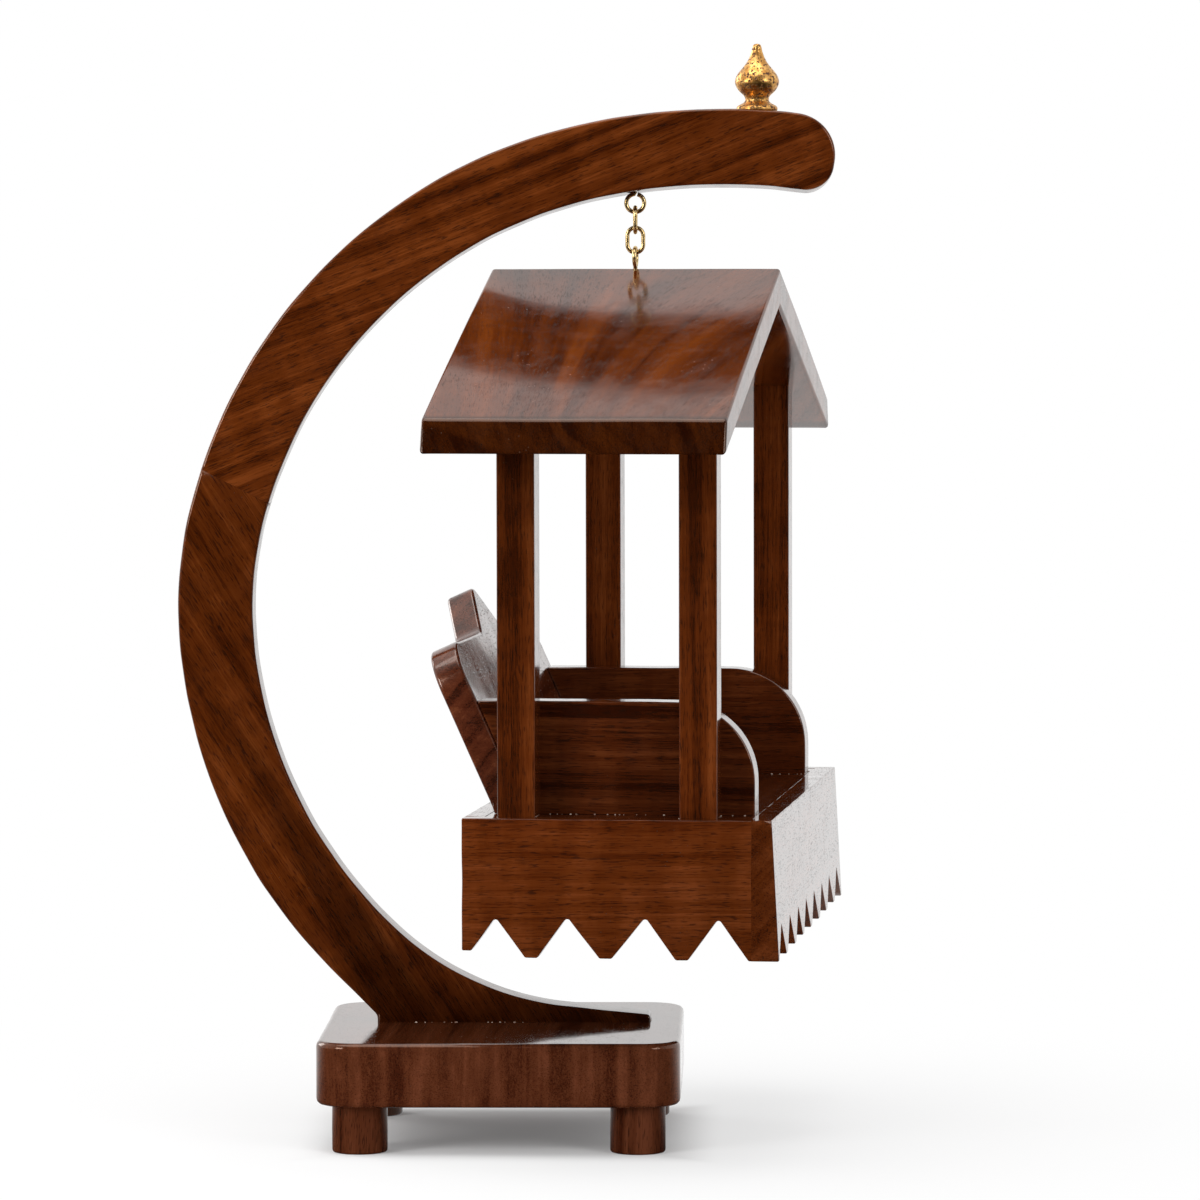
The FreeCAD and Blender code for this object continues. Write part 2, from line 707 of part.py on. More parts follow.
def roof_board(side, eye_x):
    """One roof board, a little thinner towards its eave, with half the hole of the eye on its ridge joint."""
    points = [V(roof_back_x, 0, roof_ridge_height), V(roof_back_x, 0, ridge_top),
              V(roof_back_x, side * roof_eave_top_y, roof_eave_top_z),
              V(roof_back_x, side * roof_half_span, roof_eave_z)]
    body = prism(points, V(roof_front_x - roof_back_x, 0, 0))
    body = soften(body, roof_arris, lambda edge: not near(middle(edge).y, 0))
    body = body.cut(rod(wire_radius + bore_play, V(eye_x, 0, ridge_top + overrun), V(0, 0, -1),
                        overrun + eye_shank_length + bore_play))
    for place in dowel_places():
        body = body.cut(ridge_dowel(place, bore_play))
    for x, pin_side in roof_pin_places():
        if pin_side == side:
            body = body.cut(roof_pin(x, side, bore_play))
    return body


def headed_pin(head_place, direction, length, play):
    """A panel pin with its head at a place, or the hole for it."""
    shank = rod(pin_radius + play, head_place, direction, length + play)
    head = rod(pin_head_radius + play, head_place, direction, pin_head_height + play)
    sink = rod(pin_head_radius + play, head_place, direction * -1, pin_sink + overrun) if play else None
    pin = shank.fuse(head)
    return pin.fuse(sink) if sink else pin


def roof_pin(x, side, play):
    """The pin through the roof into a post's top, square to the roof's underside."""
    angle = math.radians(roof_pitch)
    normal = V(0, side * math.sin(angle), math.cos(angle))
    under = V(x, side * post_y, roof_ridge_height - post_y * roof_slope)
    over = (ridge_top - roof_top_slope * post_y - under.z) / (math.cos(angle) + roof_top_slope * math.sin(angle))
    head = under + normal * (over - pin_sink)
    return headed_pin(head, normal * -1, over - pin_sink + pin_bite, play)


def corner_pins(play):
    """Two pins at each corner of the skirt: through the front board, and through the sides at the back."""
    pins = []
    length = skirt_thickness - pin_sink + pin_bite
    for side in (-1, 1):
        for z in (-corner_pin_upper, -corner_pin_lower):
            lean = -z * front_flare_slope
            front = V(skirt_length / 2 + lean - pin_sink, side * (skirt_width - skirt_thickness) / 2, z)
            back = V(-(skirt_length - skirt_thickness) / 2, side * (skirt_width / 2 - pin_sink), z)
            pins.append(headed_pin(front, V(-1, 0, 0), length + lean, play))
            pins.append(headed_pin(back, V(0, -side, 0), length, play))
    return pins


def seat_pins(play):
    """Pins through the side boards into the edges of the seat, clear of the posts' mortises."""
    pins = []
    length = skirt_thickness - pin_sink + pin_bite
    for side in (-1, 1):
        for x in (post_back_x + post_size, post_front_x - post_size):
            place = V(x, side * (skirt_width / 2 - pin_sink), -seat_thickness / 2)
            pins.append(headed_pin(place, V(0, -side, 0), length, play))
    return pins


def upright_pins(play):
    """Pins up through the seat into the side panels and the backrest's foot."""
    places = []
    panel_y = panel_outer_y - panel_thickness / 2
    back_x = back_foot_x - back_thickness * math.cos(math.radians(back_lean)) * back_pin_share
    for side in (-1, 1):
        places += [(post_back_x + post_size, side * panel_y), (panel_front_x - post_size, side * panel_y)]
        places.append((back_x, side * panel_outer_y / 2))
    up, length = V(0, 0, 1), seat_thickness + pin_bite
    return [headed_pin(V(x, y, pin_sink - seat_thickness), up, length, play) for x, y in places]


def ridge_dowel(x, play):
    """A wooden dowel across the ridge joint, or its hole."""
    half = dowel_length / 2 + play
    return rod(dowel_radius + play, V(x, -half, (roof_ridge_height + ridge_top) / 2), V(0, 1, 0), 2 * half)


def balance_point(solids):
    """Where the swing's centre of gravity lies along X: all its boards are of one wood."""
    mass = sum(solid.Volume for solid in solids)
    return sum(solid.Volume * solid.CenterOfGravity.x for solid in solids) / mass


def askew(shape, pivot_x):
    """A part of the roof, turned with it about the balance point."""
    turned_shape = shape.copy()
    turned_shape.rotate(V(pivot_x, 0, 0), V(0, 0, 1), roof_askew)
    return turned_shape


def drilled(body, pins):
    """A board with the holes of its pins."""
    for pin in pins:
        body = body.cut(pin)
    return body


# The eye in the ridge stands over the swing's centre of gravity, so that the swing hangs level.
boards = {"skirt_front": skirt_front(), "skirt_back": skirt_back(), "skirt_left": skirt_side(-1),
          "skirt_right": skirt_side(1), "seat_board": seat_board(), "side_panel_left": side_panel(-1),
          "side_panel_right": side_panel(1), "backrest": backrest()}
for name, (place_x, place_side) in post_places().items():
    boards["post_" + name] = post(place_x, place_side)
balance_x = balance_point(list(boards.values()) + [roof_board(-1, 0), roof_board(1, 0)])
boards["roof_board_left"] = askew(roof_board(-1, balance_x), balance_x)
boards["roof_board_right"] = askew(roof_board(1, balance_x), balance_x)
for name in post_places():
    bores = [askew(roof_pin(x, side, bore_play), balance_x) for x, side in roof_pin_places()]
    roof = [boards["roof_board_left"], boards["roof_board_right"]]
    boards["post_" + name] = drilled(boards["post_" + name], bores + roof)
for name in ("skirt_front", "skirt_back", "skirt_left", "skirt_right"):
    boards[name] = drilled(boards[name], corner_pins(bore_play) + seat_pins(bore_play))

swing = {name: [body] for name, body in boards.items()}
swing["ridge_eye"] = [ridge_eye().translated(V(balance_x, 0, 0))]
swing["roof_pins"] = [askew(roof_pin(x, side, 0), balance_x) for x, side in roof_pin_places()]
swing["skirt_pins"] = corner_pins(0) + seat_pins(0)
swing["seat_upright_pins"] = upright_pins(0)
swing["ridge_dowels"] = [askew(ridge_dowel(place, 0), balance_x) for place in dowel_places()]

# The swing hangs from the chain, turned a little about it.
hang = FreeCAD.Placement(V(hook_x, arm_y, swing_z), FreeCAD.Rotation(V(0, 0, 1), swing_turn))
hang = hang.multiply(FreeCAD.Placement(V(-balance_x, 0, 0), FreeCAD.Rotation()))
nodes = {name: [solid.transformed(hang.toMatrix(), True) for solid in solids]
         for name, solids in swing.items()}

nodes["base_plate"] = [base_plate()]
for name, place in foot_places().items():
    nodes["foot_" + name] = [foot(place)]
for name, board in zip(("arm_upper", "arm_lower"), arm_boards()):
    nodes[name] = [board]
nodes["arm_dowels"] = arm_dowels(0)
nodes["arm_screws"] = arm_screws()
nodes["finial"] = [finial()]
nodes["finial_stud"] = [finial_stud()]
nodes["arm_eye"] = [arm_eye()]
nodes["upper_link"] = [upper_link()]
nodes["lower_link"] = [lower_link()]

for name, solids in nodes.items():
    flat = [solid for shape in solids for solid in shape.Solids]
    shape = flat[0] if len(flat) == 1 else Part.makeCompound(flat)
    shape.exportStep("parts/" + name + ".step")
    print(name, len(flat), "valid" if shape.isValid() else "INVALID", round(sum(s.Volume for s in flat), 1))

print("hook", [round(place, 3) for place in (hook_x, arm_y, hook_z)], "balance x", round(balance_x, 3))
print("pivot heights", [round(place, 3) for place in (upper_pivot_z, lower_pivot_z, turn_pivot_z, swing_z)])
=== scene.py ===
"""Looks of a small table-top jhoola: a roofed bench swing on a wire chain under a crescent arm.

Lengths are millimetres and become metres when a mesh is made. The stand is built in the part's own
frame, and the swing in the frame of its seat box, whose origin is the middle of the skirt's top.
"""

import json
import logging
import math
import random
from collections.abc import Callable
from dataclasses import dataclass, field
from enum import Enum

import bmesh
import bpy
from mathutils import Matrix, Vector, noise

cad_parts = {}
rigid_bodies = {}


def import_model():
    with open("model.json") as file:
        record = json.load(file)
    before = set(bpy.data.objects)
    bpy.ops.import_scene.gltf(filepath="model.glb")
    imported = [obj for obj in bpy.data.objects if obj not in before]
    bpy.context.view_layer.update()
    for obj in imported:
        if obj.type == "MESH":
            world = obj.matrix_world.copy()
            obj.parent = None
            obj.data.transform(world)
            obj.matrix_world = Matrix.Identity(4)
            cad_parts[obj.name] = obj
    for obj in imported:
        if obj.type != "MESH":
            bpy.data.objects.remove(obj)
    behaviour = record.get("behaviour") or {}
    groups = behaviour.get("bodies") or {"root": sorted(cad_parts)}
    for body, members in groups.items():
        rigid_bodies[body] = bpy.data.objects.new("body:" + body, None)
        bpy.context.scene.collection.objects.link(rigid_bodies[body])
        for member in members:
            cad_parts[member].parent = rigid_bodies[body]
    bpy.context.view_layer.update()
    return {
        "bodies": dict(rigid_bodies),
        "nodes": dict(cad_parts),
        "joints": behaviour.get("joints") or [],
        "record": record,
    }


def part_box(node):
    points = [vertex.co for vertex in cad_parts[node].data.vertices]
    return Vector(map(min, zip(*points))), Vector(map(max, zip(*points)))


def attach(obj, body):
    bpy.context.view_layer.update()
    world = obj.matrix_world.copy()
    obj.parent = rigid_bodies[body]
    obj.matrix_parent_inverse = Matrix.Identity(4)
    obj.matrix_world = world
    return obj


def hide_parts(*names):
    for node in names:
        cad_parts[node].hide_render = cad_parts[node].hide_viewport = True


MM = 0.001
GRAIN = "grain"
TONE_AND_SHADE = "tone"
BEVEL_WEIGHT = "bevel_weight_edge"
ARC_STEP = math.radians(5)
SHARP = math.radians(24)

X, Y, Z = Vector((1, 0, 0)), Vector((0, 1, 0)), Vector((0, 0, 1))

log = logging.getLogger("jhoola")

Point = tuple[float, float]
Triple = tuple[float, float, float]
Colour = tuple[float, float, float]

PORE_SHADOW: Colour = (0.008, 0.0025, 0.001)
PIT_SHADOW: Colour = (0.01, 0.004, 0.002)
SAW_WAVE = 0.09
NEXT_WAVE = 40
SIDE_SHIFT = 0.37


class Body(Enum):
    """The bodies that pieces ride on."""

    STAND = "stand"
    UPPER_LINK = "upper_link"
    LOWER_LINK = "lower_link"
    SWING = "swing"


class Slot(Enum):
    """The declared finishes that the shown pieces stand for."""

    WOOD = "wood"
    GILT = "gilt"
    WIRE = "wire"


# Shader graphs


class Graph:
    """Adds nodes to one node tree and joins them."""

    def __init__(self, tree: bpy.types.NodeTree) -> None:
        """Start on a tree.

        Args:
            tree: The node tree that is filled.
        """
        self.tree = tree

    def node(self, kind: str, **settings: object) -> bpy.types.Node:
        """Add a node.

        Args:
            kind: The node's type.
            settings: Its own settings, by name.

        Returns:
            The new node.
        """
        made = self.tree.nodes.new(kind)
        for name, value in settings.items():
            setattr(made, name, value)
        return made

    def feed(self, socket: bpy.types.NodeSocket, value: object) -> None:
        """Give a socket a link or a plain value.

        Args:
            socket: The socket that is fed.
            value: Another socket, a number, a vector or a colour.
        """
        if isinstance(value, bpy.types.NodeSocket):
            self.tree.links.new(value, socket)
        elif socket.type == "RGBA" and len(value) == 3:
            socket.default_value = (*value, 1)
        else:
            socket.default_value = value

    def maths(self, operation: str, *values: object) -> bpy.types.NodeSocket:
        """Work out a number.

        Args:
            operation: The Math node's operation.
            values: Its inputs in order.

        Returns:
            The result's socket.
        """
        made = self.node("ShaderNodeMath", operation=operation)
        for socket, value in zip(made.inputs, values):
            self.feed(socket, value)
        return made.outputs[0]

    def stretch(self, vector: object, scale: Triple) -> bpy.types.NodeSocket:
        """Scale a vector along its three axes.

        Args:
            vector: The vector's socket.
            scale: The three factors.

        Returns:
            The scaled vector's socket.
        """
        made = self.node("ShaderNodeVectorMath", operation="MULTIPLY")
        self.feed(made.inputs[0], vector)
        self.feed(made.inputs[1], scale)
        return made.outputs[0]

    def noise(self, vector: object, scale: Triple, detail: float,
              roughness: float = 0.55) -> bpy.types.NodeSocket:
        """Sample smooth noise with its own scale along each axis.

        Args:
            vector: The place's socket.
            scale: Features per metre along each axis.
            detail: The number of finer layers.
            roughness: How strong the finer layers are.

        Returns:
            The noise's socket, about 0 to 1.
        """
        made = self.node("ShaderNodeTexNoise", noise_dimensions="3D")
        self.feed(made.inputs["Vector"], self.stretch(vector, scale))
        self.feed(made.inputs["Scale"], 1.0)
        self.feed(made.inputs["Detail"], detail)
        self.feed(made.inputs["Roughness"], roughness)
        return made.outputs["Fac"]

    def ramp(self, value: object, start: object, end: object, low: object = 0.0,
             high: object = 1.0) -> bpy.types.NodeSocket:
        """Take a range of values smoothly to another range.

        Args:
            value: The value's socket.
            start: The value that gives low.
            end: The value that gives high.
            low: The result at start.
            high: The result at end.

        Returns:
            The result's socket.
        """
        made = self.node("ShaderNodeMapRange", interpolation_type="SMOOTHSTEP")
        names = ("Value", "From Min", "From Max", "To Min", "To Max")
        for name, item in zip(names, (value, start, end, low, high)):
            self.feed(made.inputs[name], item)
        return made.outputs[0]

    def blend(self, factor: object, first: object, second: object) -> bpy.types.NodeSocket:
        """Mix two colours.

        Args:
            factor: How much of the second colour there is.
            first: The first colour.
            second: The second colour.

        Returns:
            The mixed colour's socket.
        """
        made = self.node("ShaderNodeMix", data_type="RGBA")
        inputs = [s for s in made.inputs if s.enabled]
        for socket, value in zip(inputs, (factor, first, second)):
            self.feed(socket, value)
        return next(s for s in made.outputs if s.enabled)


class SharedEffect:
    """A shader node group that several finishes place with their own values."""

    name = ""
    inputs: tuple[tuple[str, str, object], ...] = ()
    outputs: tuple[tuple[str, str], ...] = ()

    def tree(self) -> bpy.types.NodeTree:
        """Build the group the first time that it is asked for.

        Returns:
            The group.
        """
        made = bpy.data.node_groups.get(self.name)
        if made is None:
            made = bpy.data.node_groups.new(self.name, "ShaderNodeTree")
            for name, kind, value in self.inputs:
                socket = made.interface.new_socket(name=name, in_out="INPUT", socket_type=kind)
                if value is not None:
                    socket.default_value = value
            for name, kind in self.outputs:
                made.interface.new_socket(name=name, in_out="OUTPUT", socket_type=kind)
            graph = Graph(made)
            given = graph.node("NodeGroupInput").outputs
            result = graph.node("NodeGroupOutput").inputs
            for name, value in self.build(graph, given).items():
                graph.feed(result[name], value)
        return made

    def build(self, graph: Graph, given: bpy.types.NodeOutputs) -> dict[str, object]:
        """Fill the group.

        Args:
            graph: The group's graph.
            given: The group's inputs.

        Returns:
            What each output is fed with.
        """
        raise NotImplementedError

    def place(self, graph: Graph, **values: object) -> bpy.types.NodeOutputs:
        """Put the group into a material.

        Args:
            graph: The material's graph.
            values: The group's inputs by name, with _ for a space.

        Returns:
            The placed group's outputs.
        """
        made = graph.node("ShaderNodeGroup", node_tree=self.tree())
        for name, value in values.items():
            graph.feed(made.inputs[name.replace("_", " ")], value)
        return made.outputs


class TimberFigure(SharedEffect):
    """Growth rings, fibre and pores, from a place whose X runs along the grain and whose rings circle X."""

    name = "timber_figure"
    inputs = (
        ("Place", "NodeSocketVector", None),
        ("Dark", "NodeSocketColor", None),
        ("Middle", "NodeSocketColor", None),
        ("Light", "NodeSocketColor", None),
        ("Rings", "NodeSocketFloat", 260.0),
        ("Wander", "NodeSocketFloat", 0.004),
        ("Pore Depth", "NodeSocketFloat", 0.6),
        ("Curl", "NodeSocketFloat", 0.1),
    )
    outputs = (("Colour", "NodeSocketColor"), ("Pores", "NodeSocketFloat"), ("Height", "NodeSocketFloat"))
    sway_scale: Triple = (10, 32, 32)
    streak_scale: Triple = (14, 80, 260)
    fibre_scale: Triple = (60, 1300, 2400)
    curl_scale: Triple = (105, 38, 38)
    pore_scale: Triple = (330, 3600, 3600)
    ring_share = 0.55

    def build(self, graph: Graph, given: bpy.types.NodeOutputs) -> dict[str, object]:
        """Fill the group: rings by their distance from the pith, then fibre, streaks, curl and pores.

        Args:
            graph: The group's graph.
            given: The group's inputs.

        Returns:
            What each output is fed with.
        """
        place = given["Place"]
        parts = graph.node("ShaderNodeSeparateXYZ")
        graph.feed(parts.inputs[0], place)
        radius = graph.maths(
            "SQRT",
            graph.maths("ADD", graph.maths("MULTIPLY", parts.outputs[1], parts.outputs[1]),
                        graph.maths("MULTIPLY", parts.outputs[2], parts.outputs[2])))
        sway = graph.maths("SUBTRACT", graph.noise(place, self.sway_scale, 2.0), 0.5)
        radius = graph.maths("ADD", radius, graph.maths("MULTIPLY", sway, given["Wander"]))
        rings = graph.node("ShaderNodeTexNoise", noise_dimensions="1D")
        graph.feed(rings.inputs["W"], graph.maths("MULTIPLY", radius, given["Rings"]))
        graph.feed(rings.inputs["Scale"], 1.0)
        graph.feed(rings.inputs["Detail"], 4.0)
        graph.feed(rings.inputs["Roughness"], 0.62)
        bands = graph.ramp(rings.outputs["Fac"], 0.24, 0.76)
        streaks = graph.ramp(graph.noise(place, self.streak_scale, 4.0, 0.6), 0.28, 0.72)
        fibre = graph.noise(place, self.fibre_scale, 3.0, 0.7)
        shade = graph.maths("ADD", graph.maths("MULTIPLY", bands, self.ring_share),
                            graph.maths("MULTIPLY", streaks, 1 - self.ring_share))
        shade = graph.maths("ADD", shade, graph.ramp(fibre, 0.3, 0.7, -0.16, 0.16))
        curl = graph.ramp(graph.noise(place, self.curl_scale, 3.0), 0.36, 0.66, -1.0, 1.0)
        shade = graph.maths("ADD", shade, graph.maths("MULTIPLY", curl, given["Curl"]))
        colour = graph.blend(graph.ramp(shade, 0.08, 0.52), given["Dark"], given["Middle"])
        colour = graph.blend(graph.ramp(shade, 0.48, 1.0), colour, given["Light"])
        dashes = graph.noise(place, self.pore_scale, 1.0, 0.4)
        crowd = graph.ramp(bands, 0.1, 0.9, 0.055, 0.0)
        pores = graph.ramp(graph.maths("ADD", dashes, crowd), 0.6, 0.7)
        shut = graph.maths("MULTIPLY", pores, given["Pore Depth"])
        colour = graph.blend(shut, colour, PORE_SHADOW)
        height = graph.maths("SUBTRACT", graph.maths("MULTIPLY", fibre, 0.5), pores)
        return {"Colour": colour, "Pores": pores, "Height": height}


class HandFinish(SharedEffect):
    """The surface a hand leaves: long sanding waves, brushed ripples, pinholes and a cloudy haze."""

    name = "hand_finish"
    inputs = (
        ("Place", "NodeSocketVector", None),
        ("Wave Height", "NodeSocketFloat", 0.02),
        ("Ripple Height", "NodeSocketFloat", 0.002),
        ("Pit Depth", "NodeSocketFloat", 0.02),
    )
    outputs = (("Height", "NodeSocketFloat"), ("Pits", "NodeSocketFloat"), ("Haze", "NodeSocketFloat"))
    wave_scale: Triple = (55, 55, 55)
    ripple_scale: Triple = (420, 420, 420)
    cluster_scale: Triple = (60, 60, 60)
    haze_scale: Triple = (130, 130, 130)
    pit_scale = 560.0

    def build(self, graph: Graph, given: bpy.types.NodeOutputs) -> dict[str, object]:
        """Fill the group.

        Args:
            graph: The group's graph.
            given: The group's inputs.

        Returns:
            What each output is fed with.
        """
        place = given["Place"]
        wave = graph.maths("MULTIPLY", graph.noise(place, self.wave_scale, 1.0), given["Wave Height"])
        ripple = graph.maths("MULTIPLY", graph.noise(place, self.ripple_scale, 2.0), given["Ripple Height"])
        holes = graph.node("ShaderNodeTexVoronoi", feature="F1", distance="EUCLIDEAN")
        graph.feed(holes.inputs["Vector"], place)
        graph.feed(holes.inputs["Scale"], self.pit_scale)
        sparse = graph.ramp(graph.noise(place, self.cluster_scale, 2.0), 0.5, 0.64)
        pits = graph.maths("MULTIPLY", graph.ramp(holes.outputs["Distance"], 0.13, 0.05), sparse)
        height = graph.maths("SUBTRACT", graph.maths("ADD", wave, ripple),
                             graph.maths("MULTIPLY", pits, given["Pit Depth"]))
        haze = graph.ramp(graph.noise(place, self.haze_scale, 4.0, 0.65), 0.35, 0.7)
        return {"Height": height, "Pits": pits, "Haze": haze}


class MetalMottle(SharedEffect):
    """Patchy leaf or tarnish on a small metal piece."""

    name = "metal_mottle"
    inputs = (
        ("Place", "NodeSocketVector", None),
        ("Bright", "NodeSocketColor", None),
        ("Dull", "NodeSocketColor", None),
        ("Spots", "NodeSocketColor", None),
        ("Patch Scale", "NodeSocketFloat", 600.0),
        ("Spot Share", "NodeSocketFloat", 0.5),
    )
    outputs = (("Colour", "NodeSocketColor"), ("Wear", "NodeSocketFloat"), ("Height", "NodeSocketFloat"))
    patch_size: Triple = (1, 1, 1)
    spot_size: Triple = (3.1, 3.1, 3.1)

    def build(self, graph: Graph, given: bpy.types.NodeOutputs) -> dict[str, object]:
        """Fill the group.

        Args:
            graph: The group's graph.
            given: The group's inputs.

        Returns:
            What each output is fed with.
        """
        sized = graph.node("ShaderNodeVectorMath", operation="SCALE")
        graph.feed(sized.inputs[0], given["Place"])
        graph.feed(sized.inputs["Scale"], given["Patch Scale"])
        patches = graph.noise(sized.outputs[0], self.patch_size, 4.0, 0.6)
        grains = graph.noise(sized.outputs[0], self.spot_size, 2.0, 0.5)
        colour = graph.blend(graph.ramp(patches, 0.36, 0.62), given["Dull"], given["Bright"])
        spotted = graph.maths("ADD", grains, graph.maths("MULTIPLY", given["Spot Share"], 0.2))
        wear = graph.ramp(spotted, 0.62, 0.70)
        colour = graph.blend(wear, colour, given["Spots"])
        height = graph.maths("SUBTRACT", patches, graph.maths("MULTIPLY", wear, 0.5))
        return {"Colour": colour, "Wear": wear, "Height": height}


def paint(red: int, green: int, blue: int) -> Colour:
    """Turn a colour as a screen shows it into the one that a shader works with."""
    return tuple((c / 255 / 12.92) if c <= 10 else ((c / 255 + 0.055) / 1.055) ** 2.4 for c in (red, green, blue))


def blank_material(name: str) -> tuple[bpy.types.Material, Graph, bpy.types.Node]:
    """Make a material with only a Principled shader.

    Args:
        name: The material's name.

    Returns:
        The material, its graph and its shader.
    """
    material = bpy.data.materials.new(name)
    material.use_nodes = True
    material.node_tree.nodes.clear()
    graph = Graph(material.node_tree)
    shader = graph.node("ShaderNodeBsdfPrincipled")
    result = graph.node("ShaderNodeOutputMaterial")
    material.node_tree.links.new(shader.outputs[0], result.inputs["Surface"])
    return material, graph, shader


def bump(graph: Graph, shader: bpy.types.Node, height: object, distance: float) -> None:
    """Feed a height to a shader's normal.

    Args:
        graph: The material's graph.
        shader: The Principled shader.
        height: The height's socket.
        distance: Metres per unit of height.
    """
    relief = graph.node("ShaderNodeBump")
    graph.feed(relief.inputs["Strength"], 1.0)
    graph.feed(relief.inputs["Distance"], distance)
    graph.feed(relief.inputs["Height"], height)
    graph.feed(shader.inputs["Normal"], relief.outputs[0])


@dataclass(frozen=True)
class LacqueredTimber:
    """Dark open-pored timber under a brushed clear lacquer."""

    name: str
    dark: Colour
    middle: Colour
    light: Colour
    rings: float = 260.0
    wander: float = 0.004
    pore_depth: float = 0.6
    curl: float = 0.1
    roughness: float = 0.14
    wave: float = 0.022
    ripple: float = 0.0016
    open_pores: float = 0.3
    coat: float = 0.0
    amber: Colour = (1.0, 0.68, 0.52)

    def material(self) -> bpy.types.Material:
        """Make the finish's material the first time that it is asked for.

        Returns:
            The material.
        """
        known = bpy.data.materials.get(self.name)
        if known:
            return known
        material, graph, shader = blank_material(self.name)
        place = graph.node("ShaderNodeAttribute", attribute_name=GRAIN).outputs["Vector"]
        tone = graph.node("ShaderNodeAttribute", attribute_name=TONE_AND_SHADE).outputs["Fac"]
        figure = TimberFigure().place(
            graph, Place=place, Dark=self.dark, Middle=self.middle, Light=self.light, Rings=self.rings,
            Wander=self.wander, Pore_Depth=self.pore_depth, Curl=self.curl)
        finish = HandFinish().place(graph, Place=place, Wave_Height=self.wave, Ripple_Height=self.ripple)
        # The tone attribute scales the colour: each board's own tone, and painted light and shade on the arm's
        # foot, the posts and the left skirt board.
        toned = graph.node("ShaderNodeVectorMath", operation="SCALE")
        graph.feed(toned.inputs[0], figure["Colour"])
        graph.feed(toned.inputs["Scale"], tone)
        pitted = graph.maths("MULTIPLY", finish["Pits"], 0.8)
        graph.feed(shader.inputs["Base Color"], graph.blend(pitted, toned.outputs[0], PIT_SHADOW))
        rough = graph.ramp(finish["Haze"], 0.0, 1.0, self.roughness * 0.8, self.roughness * 1.3)
        holes = graph.maths("MAXIMUM", finish["Pits"], graph.maths("MULTIPLY", figure["Pores"], self.open_pores))
        graph.feed(shader.inputs["Roughness"], graph.maths("ADD", rough, graph.maths("MULTIPLY", holes, 0.25)))
        graph.feed(shader.inputs["IOR"], 1.5)
        graph.feed(shader.inputs["Specular Tint"], self.amber)
        flecks = graph.maths("MAXIMUM", finish["Pits"], graph.maths("MULTIPLY", figure["Pores"], 0.9))
        graph.feed(shader.inputs["Coat Weight"], graph.ramp(flecks, 0.0, 1.0, self.coat, 0.0))
        graph.feed(shader.inputs["Coat Roughness"], 0.06)
        grain = graph.maths("MULTIPLY", figure["Height"], 0.0012)
        bump(graph, shader, graph.maths("ADD", finish["Height"], grain), MM)
        return material


@dataclass(frozen=True)
class PlainTimber:
    """Pale unlacquered timber of the hidden dowels."""

    name: str
    along: Vector

    def material(self) -> bpy.types.Material:
        """Make the finish's material.

        Returns:
            The material.
        """
        material, graph, shader = blank_material(self.name)
        place = graph.node("ShaderNodeTexCoord").outputs["Object"]
        turn = self.along.rotation_difference(X).to_euler()
        turned = graph.node("ShaderNodeMapping")
        graph.feed(turned.inputs["Vector"], place)
        graph.feed(turned.inputs["Rotation"], tuple(turn))
        figure = TimberFigure().place(
            graph, Place=turned.outputs[0], Dark=paint(150, 110, 66), Middle=paint(186, 148, 100),
            Light=paint(210, 178, 132), Rings=900.0, Wander=0.001, Pore_Depth=0.3, Curl=0.05)
        graph.feed(shader.inputs["Base Color"], figure["Colour"])
        graph.feed(shader.inputs["Roughness"], graph.ramp(figure["Pores"], 0.0, 1.0, 0.6, 0.75))
        bump(graph, shader, figure["Height"], MM * 0.01)
        return material


@dataclass(frozen=True)
class MottledMetal:
    """Metal with patches of brighter and duller skin."""

    name: str
    bright: Colour
    dull: Colour
    spots: Colour
    patch_scale: float
    spot_share: float
    roughness: float
    relief: float

    def material(self) -> bpy.types.Material:
        """Make the finish's material.

        Returns:
            The material.
        """
        known = bpy.data.materials.get(self.name)
        if known:
            return known
        material, graph, shader = blank_material(self.name)
        place = graph.node("ShaderNodeTexCoord").outputs["Object"]
        mottle = MetalMottle().place(graph, Place=place, Bright=self.bright, Dull=self.dull, Spots=self.spots,
                                     Patch_Scale=self.patch_scale, Spot_Share=self.spot_share)
        graph.feed(shader.inputs["Base Color"], mottle["Colour"])
        graph.feed(shader.inputs["Metallic"], graph.ramp(mottle["Wear"], 0.0, 1.0, 1.0, 0.35))
        graph.feed(shader.inputs["Roughness"],
                   graph.ramp(mottle["Wear"], 0.0, 1.0, self.roughness, min(1.0, self.roughness * 1.8)))
        bump(graph, shader, mottle["Height"], MM * self.relief)
        return material


@dataclass(frozen=True)
class DriedGlue:
    """Small cloudy beads of glue under the lacquer."""

    name: str = "dried_glue"

    def material(self) -> bpy.types.Material:
        """Make the finish's material.

        Returns:
            The material.
        """
        material, graph, shader = blank_material(self.name)
        place = graph.node("ShaderNodeTexCoord").outputs["Object"]
        cloud = graph.ramp(graph.noise(place, (900, 900, 900), 3.0), 0.35, 0.65)
        graph.feed(shader.inputs["Base Color"], graph.blend(cloud, paint(120, 84, 66), paint(216, 200, 188)))
        graph.feed(shader.inputs["Roughness"], graph.ramp(cloud, 0.0, 1.0, 0.12, 0.3))
        return material


